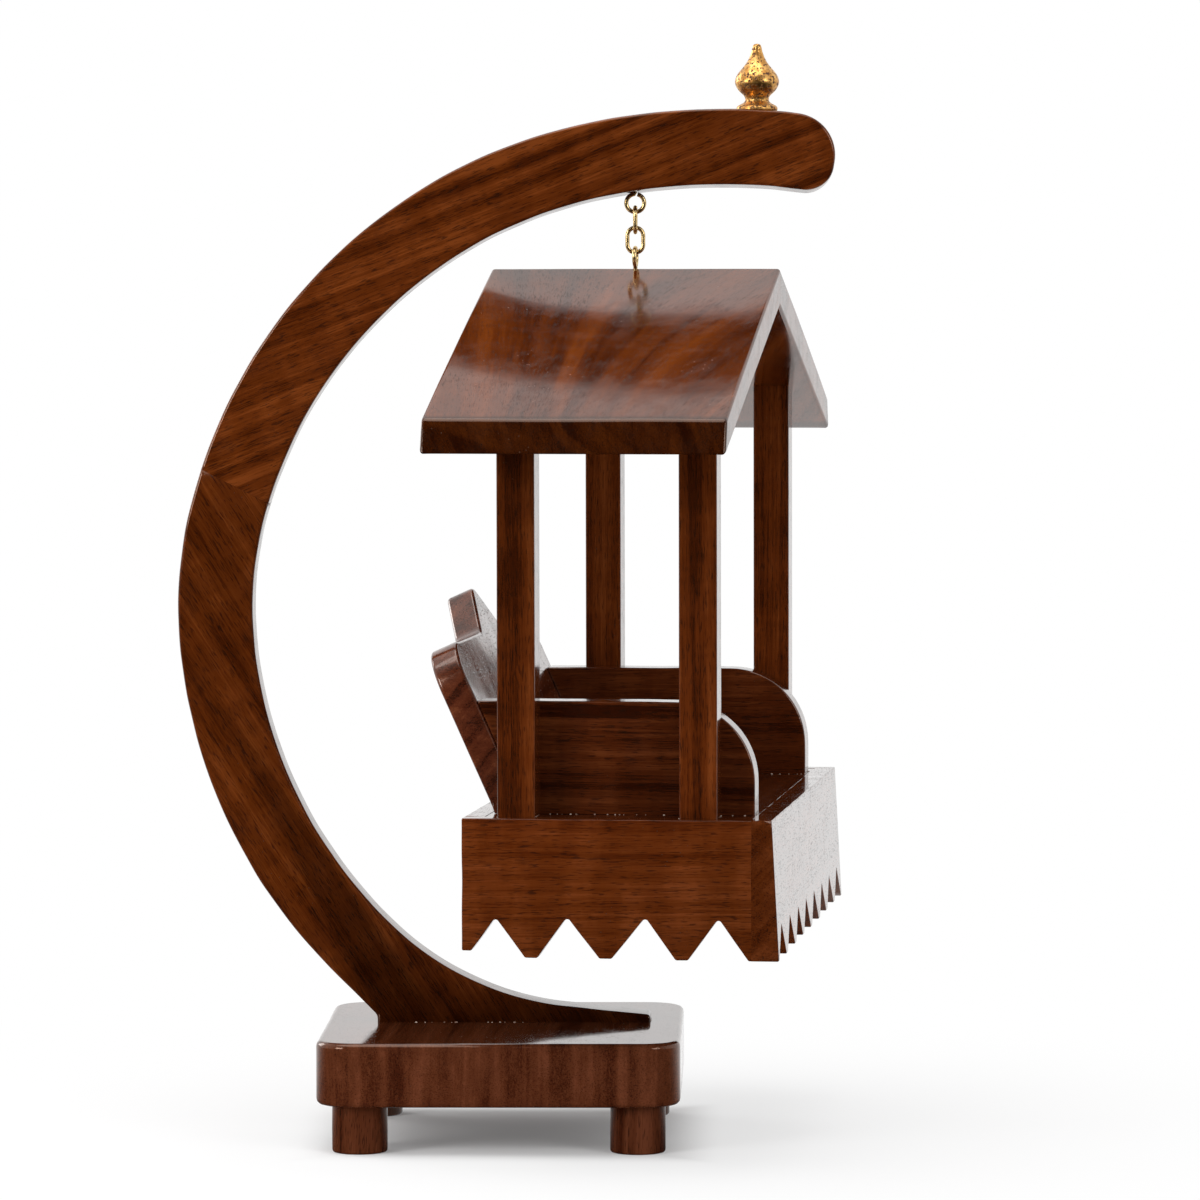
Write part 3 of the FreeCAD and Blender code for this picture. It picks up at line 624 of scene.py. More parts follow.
CRESCENT_TIMBER = LacqueredTimber("crescent_timber", paint(60, 22, 3), paint(87, 38, 9), paint(114, 56, 20),
                                  rings=200.0, wander=0.006, roughness=0.13)
SKIRT_TIMBER = LacqueredTimber("skirt_timber", paint(68, 26, 5), paint(86, 38, 11), paint(106, 52, 22),
                               rings=190.0, wander=0.004, curl=0.16, roughness=0.12, coat=0.45)
POST_TIMBER = LacqueredTimber("post_timber", paint(52, 19, 4), paint(78, 33, 8), paint(98, 48, 18),
                              rings=300.0, wander=0.002, roughness=0.11, coat=0.45)
PANEL_TIMBER = LacqueredTimber("panel_timber", paint(44, 14, 3), paint(70, 29, 9), paint(94, 46, 20),
                               rings=260.0, wander=0.004, coat=0.45)
BACK_TIMBER = LacqueredTimber("back_timber", paint(52, 20, 9), paint(84, 39, 22), paint(108, 58, 35),
                              rings=200.0, wander=0.006, roughness=0.16, wave=0.22, ripple=0.028, coat=0.6)
ROOF_TIMBER = LacqueredTimber("roof_timber", paint(58, 20, 3), paint(84, 36, 8), paint(108, 51, 14),
                              rings=150.0, wander=0.012, curl=0.06, roughness=0.14, wave=0.012,
                              ripple=0.001, coat=0.08)
BASE_TIMBER = LacqueredTimber("base_timber", paint(58, 24, 11), paint(81, 41, 23), paint(99, 54, 34),
                              rings=160.0, wander=0.002, curl=0.02, roughness=0.07, wave=0.01)
DOWEL_TIMBER_ACROSS = PlainTimber("dowel_timber_across", Vector((0.13, 0.99, 0)))
DOWEL_TIMBER_ARM = PlainTimber("dowel_timber_arm", Vector((-0.45, 0, 0.89)))
GILT = MottledMetal("antique_gilt", bright=(0.80, 0.45, 0.14), dull=(0.50, 0.23, 0.055),
                    spots=(0.085, 0.03, 0.01), patch_scale=420.0, spot_share=0.42, roughness=0.35, relief=0.12)
BRASS_WIRE = MottledMetal("brass_wire", bright=(0.83, 0.62, 0.30), dull=(0.60, 0.41, 0.17),
                          spots=(0.20, 0.11, 0.05), patch_scale=1500.0, spot_share=0.1, roughness=0.26, relief=0.01)
PIN_STEEL = MottledMetal("pin_steel", bright=(0.62, 0.60, 0.57), dull=(0.45, 0.43, 0.41),
                         spots=(0.20, 0.16, 0.13), patch_scale=1800.0, spot_share=0.1, roughness=0.34, relief=0.01)
GLUE = DriedGlue()


# Outlines


def rounded(corners: list[Triple]) -> list[Point]:
    """Round the corners of a closed outline.

    Args:
        corners: Each corner's place and the radius of its rounding, 0 for a sharp one.

    Returns:
        The outline's points.
    """
    points = []
    count = len(corners)
    for index, (a, b, radius) in enumerate(corners):
        here = Vector((a, b))
        if not radius:
            points.append((a, b))
            continue
        before = Vector(corners[index - 1][:2]) - here
        after = Vector(corners[(index + 1) % count][:2]) - here
        before.normalize()
        after.normalize()
        half = before.angle(after) / 2
        centre = here + (before + after).normalized() * (radius / math.sin(half))
        first = here + before * (radius / math.tan(half)) - centre
        last = here + after * (radius / math.tan(half)) - centre
        sweep = first.angle_signed(last)
        steps = max(2, math.ceil(abs(sweep) / ARC_STEP))
        for step in range(steps + 1):
            turn = -sweep * step / steps
            points.append(tuple(centre + Matrix.Rotation(turn, 2) @ first))
    return points


def divided(points: list[Point], step: float) -> list[Point]:
    """Divide a closed outline's long runs.

    Args:
        points: The outline.
        step: The longest run that is left whole.

    Returns:
        The outline with more points.
    """
    result = []
    for start, end in zip(points, points[1:] + points[:1]):
        pieces = max(1, math.ceil(math.dist(start, end) / step))
        result += [(start[0] + (end[0] - start[0]) * k / pieces, start[1] + (end[1] - start[1]) * k / pieces)
                   for k in range(pieces)]
    return result


def hand_cut(points: list[Point], amount: float, seed: float) -> list[Point]:
    """Let an outline wander a little, as a hand saw does.

    Args:
        points: The outline.
        amount: The most that a point moves.
        seed: Which wander is taken.

    Returns:
        The wandering outline.
    """
    return [(a + amount * noise.noise(Vector((a * SAW_WAVE, b * SAW_WAVE, seed))),
             b + amount * noise.noise(Vector((a * SAW_WAVE, b * SAW_WAVE, seed + NEXT_WAVE)))) for a, b in points]


def share_between(value: float, start: float, end: float) -> float:
    """How far a value is on the way from start to end, held from 0 to 1."""
    return min(1.0, max(0.0, (value - start) / (end - start)))


def smooth_share(share: float) -> float:
    """A share that leaves 0 and reaches 1 gently."""
    return share * share * (3 - 2 * share)


# Meshes


@dataclass
class GrainRun:
    """How the grain runs in one board, in the frame in which the board is built."""

    along: Vector
    growth: Vector
    pith: float = 90.0
    shift: float = 0.0
    tone: float = 1.0
    # shade changes a board's tone: its real tone, such as dark end grain, and on some boards painted light and
    # shade.
    shade: Callable[[Vector], float] | None = None
    bend: Callable[[Vector], Vector] | None = None

    def write(self, mesh: bpy.types.Mesh, to_build: Matrix) -> None:
        """Write the grain's place and the tone, with any painted light or shade from shade, to each point of a
        mesh.

        Args:
            mesh: The finished mesh, in metres.
            to_build: Takes the mesh's points to the board's own frame, in millimetres.
        """
        along = self.along.normalized()
        growth = (self.growth - along * self.growth.dot(along)).normalized()
        side = growth.cross(along)
        places, tones = [], []
        for vertex in mesh.vertices:
            point = to_build @ vertex.co
            tones.append(self.tone * (self.shade(point) if self.shade else 1.0))
            if self.bend:
                point = self.bend(point)
            places += [(point.dot(along) + self.shift) * MM, point.dot(side) * MM + self.shift * MM * SIDE_SHIFT,
                       (point.dot(growth) + self.pith) * MM]
        mesh.attributes.new(GRAIN, "FLOAT_VECTOR", "POINT").data.foreach_set("vector", places)
        mesh.attributes.new(TONE_AND_SHADE, "FLOAT", "POINT").data.foreach_set("value", tones)


def finished_mesh(piece: bpy.types.Object) -> None:
    """Apply a piece's modifiers to its mesh.

    Args:
        piece: The piece.
    """
    graph = bpy.context.evaluated_depsgraph_get()
    mesh = bpy.data.meshes.new_from_object(piece.evaluated_get(graph))
    piece.modifiers.clear()
    old = piece.data
    piece.data = mesh
    mesh.name = piece.name
    bpy.data.meshes.remove(old)


def new_piece(name: str, shape: bmesh.types.BMesh) -> bpy.types.Object:
    """Make an object of a bmesh.

    Args:
        name: The piece's name.
        shape: Its mesh, which is used up.

    Returns:
        The new object, linked to the scene.
    """
    bmesh.ops.recalc_face_normals(shape, faces=shape.faces)
    mesh = bpy.data.meshes.new(name)
    shape.to_mesh(mesh)
    shape.free()
    mesh.shade_smooth()
    piece = bpy.data.objects.new(name, mesh)
    bpy.context.scene.collection.objects.link(piece)
    return piece


@dataclass
class Board:
    """A board sawn to a flat outline, with eased edges.

    The outline lies in the plane's first two axes and the board's thickness runs along the third.
    """

    name: str
    outline: list[Point]
    thickness: float
    plane: Matrix
    grain: GrainRun
    arris: float
    slices: int = 1
    eased: Callable[[Vector, Vector], bool] | None = None
    relief: Callable[[Vector], Vector] | None = None
    cuts: list[tuple[Vector, Vector]] = field(default_factory=list)

    def build(self, frame: Matrix) -> bpy.types.Object:
        """Make the board.

        Args:
            frame: Takes the frame it is built in to the part's frame, in millimetres.

        Returns:
            The finished piece.
        """
        shape = bmesh.new()
        rings = []
        for level in range(self.slices + 1):
            height = self.thickness * level / self.slices
            rings.append([shape.verts.new(self.plane @ Vector((a, b, height))) for a, b in self.outline])
        shape.faces.new(list(reversed(rings[0])))
        shape.faces.new(rings[-1])
        for low, high in zip(rings, rings[1:]):
            for k, vertex in enumerate(low):
                after = (k + 1) % len(low)
                shape.faces.new((vertex, low[after], high[after], high[k]))
        if self.relief:
            for vertex in shape.verts:
                vertex.co += self.relief(vertex.co)
        for place, direction in self.cuts:
            self.saw(shape, place, direction)
        bmesh.ops.recalc_face_normals(shape, faces=shape.faces)
        weight = shape.edges.layers.float.new(BEVEL_WEIGHT)
        for edge in shape.edges:
            sharp = len(edge.link_faces) == 2 and edge.calc_face_angle() > SHARP
            middle = (edge.verts[0].co + edge.verts[1].co) / 2
            run = (edge.verts[1].co - edge.verts[0].co).normalized()
            if sharp and (self.eased is None or self.eased(middle, run)):
                edge[weight] = 1.0
            elif sharp:
                edge.smooth = False
        to_metres = Matrix.Scale(MM, 4) @ frame
        shape.transform(to_metres)
        piece = new_piece(self.name, shape)
        bevel = piece.modifiers.new("eased_edges", "BEVEL")
        bevel.limit_method = "WEIGHT"
        bevel.width = self.arris * MM
        bevel.segments = 3
        bevel.use_clamp_overlap = False
        piece.modifiers.new("flat_faces", "WEIGHTED_NORMAL").keep_sharp = True
        finished_mesh(piece)
        self.grain.write(piece.data, to_metres.inverted())
        return piece

    @staticmethod
    def saw(shape: bmesh.types.BMesh, place: Vector, direction: Vector) -> None:
        """Saw the board along a plane and close the cut.

        Args:
            shape: The board's mesh.
            place: A point of the plane.
            direction: The plane's normal, towards what is sawn off.
        """
        everything = shape.verts[:] + shape.edges[:] + shape.faces[:]
        cut = bmesh.ops.bisect_plane(shape, geom=everything, plane_co=place, plane_no=direction,
                                     clear_outer=True)
        edges = [item for item in cut["geom_cut"] if isinstance(item, bmesh.types.BMEdge)]
        bmesh.ops.contextual_create(shape, geom=edges)


def turned_piece(name: str, outline: list[Point], foot: Vector, sides: int) -> bpy.types.Object:
    """Turn an outline of radii and heights about an upright axis.

    Args:
        name: The piece's name.
        outline: Radii and heights from the lowest to the highest.
        foot: Where the axis meets height 0, in millimetres.
        sides: The number of sides.

    Returns:
        The piece.
    """
    shape = bmesh.new()
    rings = []
    for radius, height in outline:
        if radius == 0:
            rings.append([shape.verts.new(foot + Z * height)])
            continue
        rings.append([shape.verts.new(foot + Vector((radius * math.cos(t), radius * math.sin(t), height)))
                      for t in (2 * math.pi * k / sides for k in range(sides))])
    for low, high in zip(rings, rings[1:]):
        for k in range(sides):
            after = (k + 1) % sides
            corners = [low[k % len(low)], low[after % len(low)], high[after % len(high)], high[k % len(high)]]
            shape.faces.new(list(dict.fromkeys(corners)))
    for ring in (rings[0], rings[-1]):
        if len(ring) > 1:
            shape.faces.new(ring)
    shape.transform(Matrix.Scale(MM, 4))
    return new_piece(name, shape)


def smooth_line(points: list[Point], per_run: int) -> list[Point]:
    """Run a smooth line through points.

    Args:
        points: The points.
        per_run: The number of steps between two points.

    Returns:
        The line's points.
    """
    ends = [points[0]] + points + [points[-1]]
    result = []
    for before, start, end, after in zip(ends, ends[1:], ends[2:], ends[3:]):
        for k in range(per_run):
            t = k / per_run
            result.append(tuple(
                0.5 * (2 * s + (e - b) * t + (2 * b - 5 * s + 4 * e - a) * t ** 2
                       + (3 * s - b - 3 * e + a) * t ** 3)
                for b, s, e, a in zip(before, start, end, after)))
    return result + [points[-1]]


def wire_piece(name: str, path: list[Vector], radius: float, closed: bool, frame: Matrix) -> bpy.types.Object:
    """Bend round wire along a path.

    Args:
        name: The piece's name.
        path: The points of its middle line, in millimetres.
        radius: The wire's radius.
        closed: Whether the ends are brazed together.
        frame: Takes that frame to the part's frame.

    Returns:
        The piece, a mesh.
    """
    curve = bpy.data.curves.new(name, "CURVE")
    curve.dimensions = "3D"
    curve.bevel_depth = radius * MM
    curve.bevel_resolution = 5
    curve.use_fill_caps = True
    spline = curve.splines.new("POLY")
    spline.points.add(len(path) - 1)
    for target, point in zip(spline.points, path):
        target.co = (*(Matrix.Scale(MM, 4) @ frame @ point), 1)
    spline.use_cyclic_u = closed
    carrier = bpy.data.objects.new(name, curve)
    mesh = bpy.data.meshes.new_from_object(carrier)
    bpy.data.objects.remove(carrier)
    bpy.data.curves.remove(curve)
    mesh.shade_smooth()
    piece = bpy.data.objects.new(name, mesh)
    bpy.context.scene.collection.objects.link(piece)
    return piece


def dress(piece: bpy.types.Object, material: bpy.types.Material, body: Body,
          replaced: tuple[str, ...] = ()) -> None:
    """Give a piece its material and its place on a body.

    Args:
        piece: The piece.
        material: Its material.
        body: The body that it rides on.
        replaced: The solids that it stands for.
    """
    piece.data.materials.clear()
    piece.data.materials.append(material)
    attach(piece, body.value)
    if replaced:
        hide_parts(*replaced)
    log.info("%s: %d faces, on %s", piece.name, len(piece.data.polygons), body.value)


@dataclass
class GlueBeads:
    """Squeezed-out glue along joints, set hard as rows of small beads."""

    name: str
    runs: list[tuple[Vector, Vector]]
    seed: int
    spacing: float
    size: float
    bead_share: float = 0.62

    def build(self, frame: Matrix) -> bpy.types.Object:
        """Make all the beads as one piece.

        Args:
            frame: Takes the runs' frame to the part's frame, in millimetres.

        Returns:
            The piece.
        """
        draw = random.Random(self.seed)
        shape = bmesh.new()
        for start, end in self.runs:
            length = (end - start).length
            along = (end - start).normalized()
            place = draw.uniform(0, self.spacing)
            while place < length:
                if draw.random() < self.bead_share:
                    size = self.size * draw.uniform(0.5, 1.3)
                    turn = along.to_track_quat("X", "Z").to_matrix().to_4x4()
                    bead = Matrix.Translation(start + along * place) @ turn
                    bead = bead @ Matrix.Diagonal((size * draw.uniform(1.0, 2.2), size, size * 0.8, 1))
                    bmesh.ops.create_icosphere(shape, subdivisions=2, radius=1.0, matrix=bead)
                place += self.spacing * draw.uniform(0.5, 1.7)
        shape.transform(Matrix.Scale(MM, 4) @ frame)
        return new_piece(self.name, shape)


def upright_plane(origin: Vector, across: Vector, up: Vector) -> Matrix:
    """A board's plane from its origin and its first two axes."""
    out = across.cross(up)
    return Matrix.Translation(origin) @ Matrix((across, up, out)).transposed().to_4x4()


# The stand


@dataclass
class Crescent:
    """The crescent arm: a band of steady width on arcs that run into each other, of two boards."""

    width: float = 20.9
    thickness: float = 13.0
    arris: float = 0.9
    crown_x: float = 61.9
    tip_radius: float = 184.6
    shoulder_radius: float = 134.611
    back_radius: float = 105.412
    foot_radius: float = 136.525
    toe_radius: float = 82.620
    tip_centre_z: float = 91.185
    shoulder_turn: float = 9.8
    back_turn: float = 76.9
    foot_turn: float = 94.1
    heel_turn: float = 135.0
    tip_reach: float = 31.0
    tip_roundings: Point = (11.7, 7.52)
    tip_run: float = 4.6
    heel_z: float = 32.9
    floor_z: float = 31.0
    toe_centre: Point = (26.134, 117.708)
    toe_top: Point = (17.498, 35.541)
    toe_end: Point = (41.1, 33.06)
    joint_turn: float = 72.3
    joint_skew: float = 9.2
    joint_gap: float = 0.008
    stray: float = 1.0
    step: float = 1.2
    saw_step: float = 2.0
    saw_wander: float = 0.16
    foot_margin: float = 0.4
    upper_grain_rise: float = 21.0
    lower_grain_fall: float = 57.0
    # Painted shade on the arm's foot: dark in the corner over the base, fading upwards, and darker towards the toe.
    shade_height: float = 14.0
    foot_shade_tone: float = 0.38
    toe_start: float = -12.0
    toe_shade: float = 0.5

    @staticmethod
    def turned(turn: float) -> Vector:
        """The unit vector at a turn from straight up towards the back of the crescent."""
        angle = math.radians(turn)
        return Vector((-math.sin(angle), math.cos(angle)))

    def centres(self) -> tuple[Vector, Vector, Vector, Vector]:
        """Find the arcs' centres: each lies on the line through the end of the arc before it.

        Returns:
            The centres of the tip, shoulder, back and foot arcs, in X and Z.
        """
        tip = Vector((self.crown_x, self.tip_centre_z))
        shoulder = tip + self.turned(self.shoulder_turn) * (self.tip_radius - self.shoulder_radius)
        back = shoulder + self.turned(self.back_turn) * (self.shoulder_radius - self.back_radius)
        foot = back + self.turned(self.foot_turn) * (self.back_radius - self.foot_radius)
        return tip, shoulder, back, foot

    def run(self, centre: Vector, radius: float, first: float, last: float) -> list[Point]:
        """Points of an arc between two turns, without its last one."""
        steps = max(2, math.ceil(radius * math.radians(abs(last - first)) / self.step))
        return [tuple(centre + self.turned(first + (last - first) * k / steps) * radius) for k in range(steps)]

    def outline(self) -> list[Point]:
        """Run the crescent's outline round: over the tip, down the back, along the toe and up inside.

        Returns:
            The outline's points in X and Z.
        """
        tip, shoulder, back, foot = self.centres()
        half = self.width / 2
        tip_turn = -math.degrees(math.asin(self.tip_reach / self.tip_radius))
        near_tip = tip_turn + self.tip_run
        heel = foot + self.turned(self.heel_turn) * (self.foot_radius + half)
        heel_angle = math.radians(self.heel_turn)
        down = Vector((-math.cos(heel_angle), -math.sin(heel_angle)))
        heel_top = heel + down * ((self.heel_z - heel.y) / down.y)
        toe_turn = self.turn_to(foot, Vector(self.toe_centre))
        toe_end_turn = self.turn_to(Vector(self.toe_centre), Vector(self.toe_top))
        corners = [
            tip + self.turned(tip_turn) * (self.tip_radius - half),
            tip + self.turned(tip_turn) * (self.tip_radius + half),
        ]
        points = [(*corners[0], self.tip_roundings[1]), (*corners[1], self.tip_roundings[0])]

        def add(run: list[Point]) -> None:
            """Add a run of points that aren't rounded."""
            points.extend((a, b, 0) for a, b in run)

        add(self.run(tip, self.tip_radius + half, near_tip, self.shoulder_turn))
        add(self.run(shoulder, self.shoulder_radius + half, self.shoulder_turn, self.back_turn))
        add(self.run(back, self.back_radius + half, self.back_turn, self.foot_turn))
        add(self.run(foot, self.foot_radius + half, self.foot_turn, self.heel_turn))
        add([tuple(heel), tuple(heel_top), (heel_top.x, self.floor_z), (self.toe_end[0], self.floor_z)])
        add([self.toe_end, self.toe_top])
        add(self.run(Vector(self.toe_centre), self.toe_radius, toe_end_turn, toe_turn)[1:])
        add(self.run(foot, self.foot_radius - half, toe_turn, self.foot_turn))
        add(self.run(back, self.back_radius - half, self.foot_turn, self.back_turn))
        add(self.run(shoulder, self.shoulder_radius - half, self.back_turn, self.shoulder_turn))
        add(self.run(tip, self.tip_radius - half, self.shoulder_turn, near_tip))
        return rounded(points)

    def painted_foot_shade(self, point: Vector) -> float:
        """Paint shade into the corner over the base, where the arm meets it, and darken the arm towards the toe.

        Args:
            point: A point of the arm.

        Returns:
            The arm's tone there.
        """
        rise = smooth_share(share_between(point.z, self.floor_z, self.floor_z + self.shade_height))
        toe = share_between(point.x, self.toe_start, self.toe_end[0])
        return (self.foot_shade_tone + (1 - self.foot_shade_tone) * rise) * (1.0 - self.toe_shade * toe)

    def undercut(self, point: Vector) -> Vector:
        """How far the saw strayed at a point: the inner edge hangs lower behind, most of all at the tip.

        Args:
            point: The point as it was drawn.

        Returns:
            The way from there to the sawn point.
        """
        tip, shoulder = self.centres()[:2]
        at_tip = point.x > self.crown_x - self.tip_reach
        centre, middle = (tip, self.tip_radius) if at_tip else (shoulder, self.shoulder_radius)
        flat = Vector((point.x, point.z))
        way = flat - centre
        if point.y < self.thickness / 2 or way.y < 0:
            return Vector()
        inner = share_between(way.length, middle, middle - self.width / 2)
        fading = share_between(self.turn_to(centre, flat), self.back_turn, 0.0)
        amount = self.stray * inner * (fading if way.x < 0 else 1.0)
        return Vector((-way.x, 0, -way.y)).normalized() * amount

    @staticmethod
    def turn_to(start: Vector, end: Vector) -> float:
        """The turn of the way from one point to another."""
        way = end - start
        return math.degrees(math.atan2(-way.x, way.y)) % 360

    def build(self) -> None:
        """Make and dress the crescent's two boards."""
        centre = self.centres()[1] + self.turned(self.joint_turn) * self.shoulder_radius
        cut = self.turned(self.joint_turn - self.joint_skew)
        upward = Vector((cut.y, 0, -cut.x))
        place = Vector((centre.x, 0, centre.y))
        plane = upright_plane(Y * self.thickness, X, Z)
        outline = hand_cut(divided(self.outline(), self.saw_step), self.saw_wander, seed=3.0)
        rise, fall = math.radians(self.upper_grain_rise), math.radians(self.lower_grain_fall)
        top_grain = GrainRun(Vector((math.cos(rise), 0.03, math.sin(rise))),
                             Vector((-0.36, 0.10, 0.93)), pith=140.0, shift=300.0)
        # The lower board's tone carries the painted shade on its foot.
        low_grain = GrainRun(Vector((math.cos(fall), -0.02, -math.sin(fall))),
                             Vector((0.84, 0.08, 0.54)), pith=170.0, shift=910.0, tone=0.88, shade=self.painted_foot_shade)
        for name, grain, way in (("arm_upper_board", top_grain, -1), ("arm_lower_board", low_grain, 1)):
            board = Board(name, outline, self.thickness, plane, grain, self.arris, relief=self.undercut,
                          eased=lambda middle, run: middle.z > self.floor_z + self.foot_margin)
            piece = board.build(Matrix.Identity(4))
            self.part(piece, place + upward * way * -self.joint_gap, upward * way)
            grain_frame = Matrix.Scale(MM, 4).inverted()
            for attribute in (GRAIN, TONE_AND_SHADE):
                piece.data.attributes.remove(piece.data.attributes[attribute])
            grain.write(piece.data, grain_frame)
            dress(piece, CRESCENT_TIMBER.material(), Body.STAND, (name.replace("_board", ""),))

    @staticmethod
    def part(piece: bpy.types.Object, place: Vector, direction: Vector) -> None:
        """Saw a finished piece in two at a plane and keep the part behind it.

        Args:
            piece: The piece.
            place: A point of the plane, in millimetres.
            direction: The plane's normal, towards what is sawn off.
        """
        shape = bmesh.new()
        shape.from_mesh(piece.data)
        Board.saw(shape, place * MM, direction)
        shape.to_mesh(piece.data)
        shape.free()


@dataclass
class Stand:
    """The base plate on its four feet, with the crescent and its finial."""

    base: Triple = (100.0, 100.0, 17.6)
    foot_height: float = 13.4
    corner_radius: float = 10.6
    base_arris: float = 1.6
    saw_step: float = 4.0
    saw_wander: float = 0.12
    foot_radius: float = 7.6
    foot_arris: float = 0.7
    foot_place: float = 38.2
    foot_sides: int = 72
    finial_radius: float = 6.15
    finial_height: float = 18.9
    finial_sides: int = 96
    finial_steps: int = 5
    finial_foot: Triple = (71.1, 6.5, 0.0)
    finial_outline: tuple[Point, ...] = (
        (0.89, 0.0), (0.935, 0.045), (0.86, 0.085), (0.60, 0.135), (0.535, 0.18), (0.60, 0.235), (0.86, 0.32),
        (1.0, 0.43), (0.90, 0.54), (0.66, 0.64), (0.47, 0.72), (0.34, 0.80), (0.25, 0.88), (0.20, 0.95),
        (0.14, 0.987), (0.0, 1.0),
    )
    glue_heel: float = -31.0
    glue_ends: Point = (6.0, 36.0)
    feet: dict[str, Point] = field(default_factory=lambda: {
        "front_left": (1, -1), "front_right": (1, 1), "back_left": (-1, -1), "back_right": (-1, 1)})

    def build(self) -> None:
        """Make and dress the stand's pieces."""
        self.base_plate()
        for index, (name, (side_x, side_y)) in enumerate(self.feet.items()):
            self.foot(name, Vector((side_x, side_y, 0)) * self.foot_place, index)
        Crescent().build()
        self.finial()
        self.glue()

    def base_plate(self) -> None:
        """Make the base plate: a square board with round corners, its end grain to the sides."""
        length, depth, thickness = self.base
        x, y, r = length / 2, depth / 2, self.corner_radius
        outline = rounded([(-x, -y, r), (x, -y, r), (x, y, r), (-x, y, r)])
        grain = GrainRun(Y + X * 0.04, X, pith=190.0, shift=-62.0)
        sawn = hand_cut(divided(outline, self.saw_step), self.saw_wander, seed=7.0)
        plane = Matrix.Translation(Z * self.foot_height)
        board = Board("base_board", sawn, thickness, plane, grain, self.base_arris)
        dress(board.build(Matrix.Identity(4)), BASE_TIMBER.material(), Body.STAND, ("base_plate",))

    def foot(self, name: str, place: Vector, index: int) -> None:
        """Turn one foot.

        Args:
            name: Where the foot is.
            place: The middle of its rest.
            index: Its number, which picks its figure.
        """
        r, a, h = self.foot_radius, self.foot_arris, self.foot_height
        outline = [(r - a, 0.0), (r - a * 0.5, a * 0.13), (r - a * 0.13, a * 0.5), (r, a), (r + 0.05, h * 0.5),
                   (r, h - 0.3), (r - 0.12, h)]
        piece = turned_piece("foot_" + name + "_turning", outline, place, self.foot_sides)
        piece.modifiers.new("flat_faces", "WEIGHTED_NORMAL")
        finished_mesh(piece)
        grain = GrainRun(Z + X * 0.05, X + Y * 0.3, pith=40.0 + 9 * index, shift=30.0 * index, tone=0.96)
        grain.write(piece.data, Matrix.Scale(1 / MM, 4))
        dress(piece, BASE_TIMBER.material(), Body.STAND, ("foot_" + name,))

    def finial(self) -> None:
        """Turn the gilt finial."""
        low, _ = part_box("finial")
        foot = Vector((self.finial_foot[0], self.finial_foot[1], low.z / MM))
        line = smooth_line([(a * self.finial_radius, b * self.finial_height) for a, b in self.finial_outline],
                           self.finial_steps)
        piece = turned_piece("finial_turning", [(max(a, 0.0), b) for a, b in line], foot, self.finial_sides)
        dress(piece, GILT.material(), Body.STAND, ("finial",))

    def glue(self) -> None:
        """Set the glue along the arm's foot."""
        y, z = Crescent.thickness, self.foot_height + self.base[2]
        heel, toe = self.glue_heel, Crescent.toe_end[0]
        near_end, far_end = self.glue_ends
        runs = [(Vector((heel, 0, z)), Vector((near_end, 0, z))), (Vector((heel, y, z)), Vector((far_end, y, z))),
                (Vector((heel, 0, z)), Vector((heel, y, z))), (Vector((toe, 1, z)), Vector((toe, y, z)))]
        beads = GlueBeads("arm_glue", runs, seed=5, spacing=1.6, size=0.19)
        dress(beads.build(Matrix.Identity(4)), GLUE.material(), Body.STAND)


# The chain


@dataclass
class Chain:
    """The screw eye in the arm, the two long links and the screw eye in the ridge."""

    wire: float = 0.6
    ring: float = 2.5
    neck: float = 0.9
    shank: float = 7.0
    link_radius: float = 2.2
    link_height: float = 6.95
    eye_start: float = 98.0
    eye_sweep: float = 338.0
    eye_steps: int = 60
    link_steps: int = 24

    def eye_path(self) -> list[Vector]:
        """Bend a screw eye's middle line: the shank up, the ring below its neck in the XZ plane.

        Returns:
            The line's points.
        """
        centre = Vector((0, 0, -self.neck - self.ring))
        path = [Z * self.shank, Z * (-self.neck * 0.2)]
        for step in range(self.eye_steps + 1):
            turn = math.radians(self.eye_start + self.eye_sweep * step / self.eye_steps)
            path.append(centre + Vector((math.cos(turn), 0, math.sin(turn))) * self.ring)
        return path

    def link_path(self) -> list[Vector]:
        """Bend a long link's middle line in the YZ plane, its top at the origin.

        Returns:
            The line's points.
        """
        drop = self.link_height - 2 * self.link_radius
        path = []
        for centre_z, start in ((-self.link_radius, 0), (-self.link_radius - drop, 180)):
            for step in range(self.link_steps + 1):
                turn = math.radians(start + 180 * step / self.link_steps)
                path.append(Vector((0, math.cos(turn), math.sin(turn))) * self.link_radius + Z * centre_z)
        return path

    def build(self, swing_frame: Matrix, hook: Vector, balance_x: float, ridge_top: float) -> None:
        """Make and dress the chain.

        Args:
            swing_frame: Takes the swing's frame to the part's frame.
            hook: Where the arm's eye leaves the arm, in millimetres.
            balance_x: Where the ridge's eye stands along the ridge.
            ridge_top: The ridge's height in the swing's frame.
        """
        top_link = Vector((hook.x, hook.y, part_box("upper_link")[1].z / MM - self.wire))
        low_link = Vector((hook.x, hook.y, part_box("lower_link")[1].z / MM - self.wire))
        upside_down = Matrix.Rotation(math.pi / 2, 4, "Z") @ Matrix.Rotation(math.pi, 4, "X")
        ridge = swing_frame @ Matrix.Translation((balance_x, 0, ridge_top)) @ upside_down
        parts = (
            ("arm_eye_wire", self.eye_path(), False, Matrix.Translation(hook), Body.STAND, "arm_eye"),
            ("upper_link_wire", self.link_path(), True,
             Matrix.Translation(top_link), Body.UPPER_LINK, "upper_link"),
            ("lower_link_wire", self.link_path(), True,
             Matrix.Translation(low_link) @ Matrix.Rotation(math.pi / 2, 4, "Z"), Body.LOWER_LINK, "lower_link"),
            ("ridge_eye_wire", self.eye_path(), False, ridge, Body.SWING, "ridge_eye"),
        )
        for name, path, closed, place, body, node in parts:
            piece = wire_piece(name, path, self.wire, closed, place)
            dress(piece, BRASS_WIRE.material(), body, (node,))


# The swing


FinishedBoard = tuple[Board, LacqueredTimber, str]


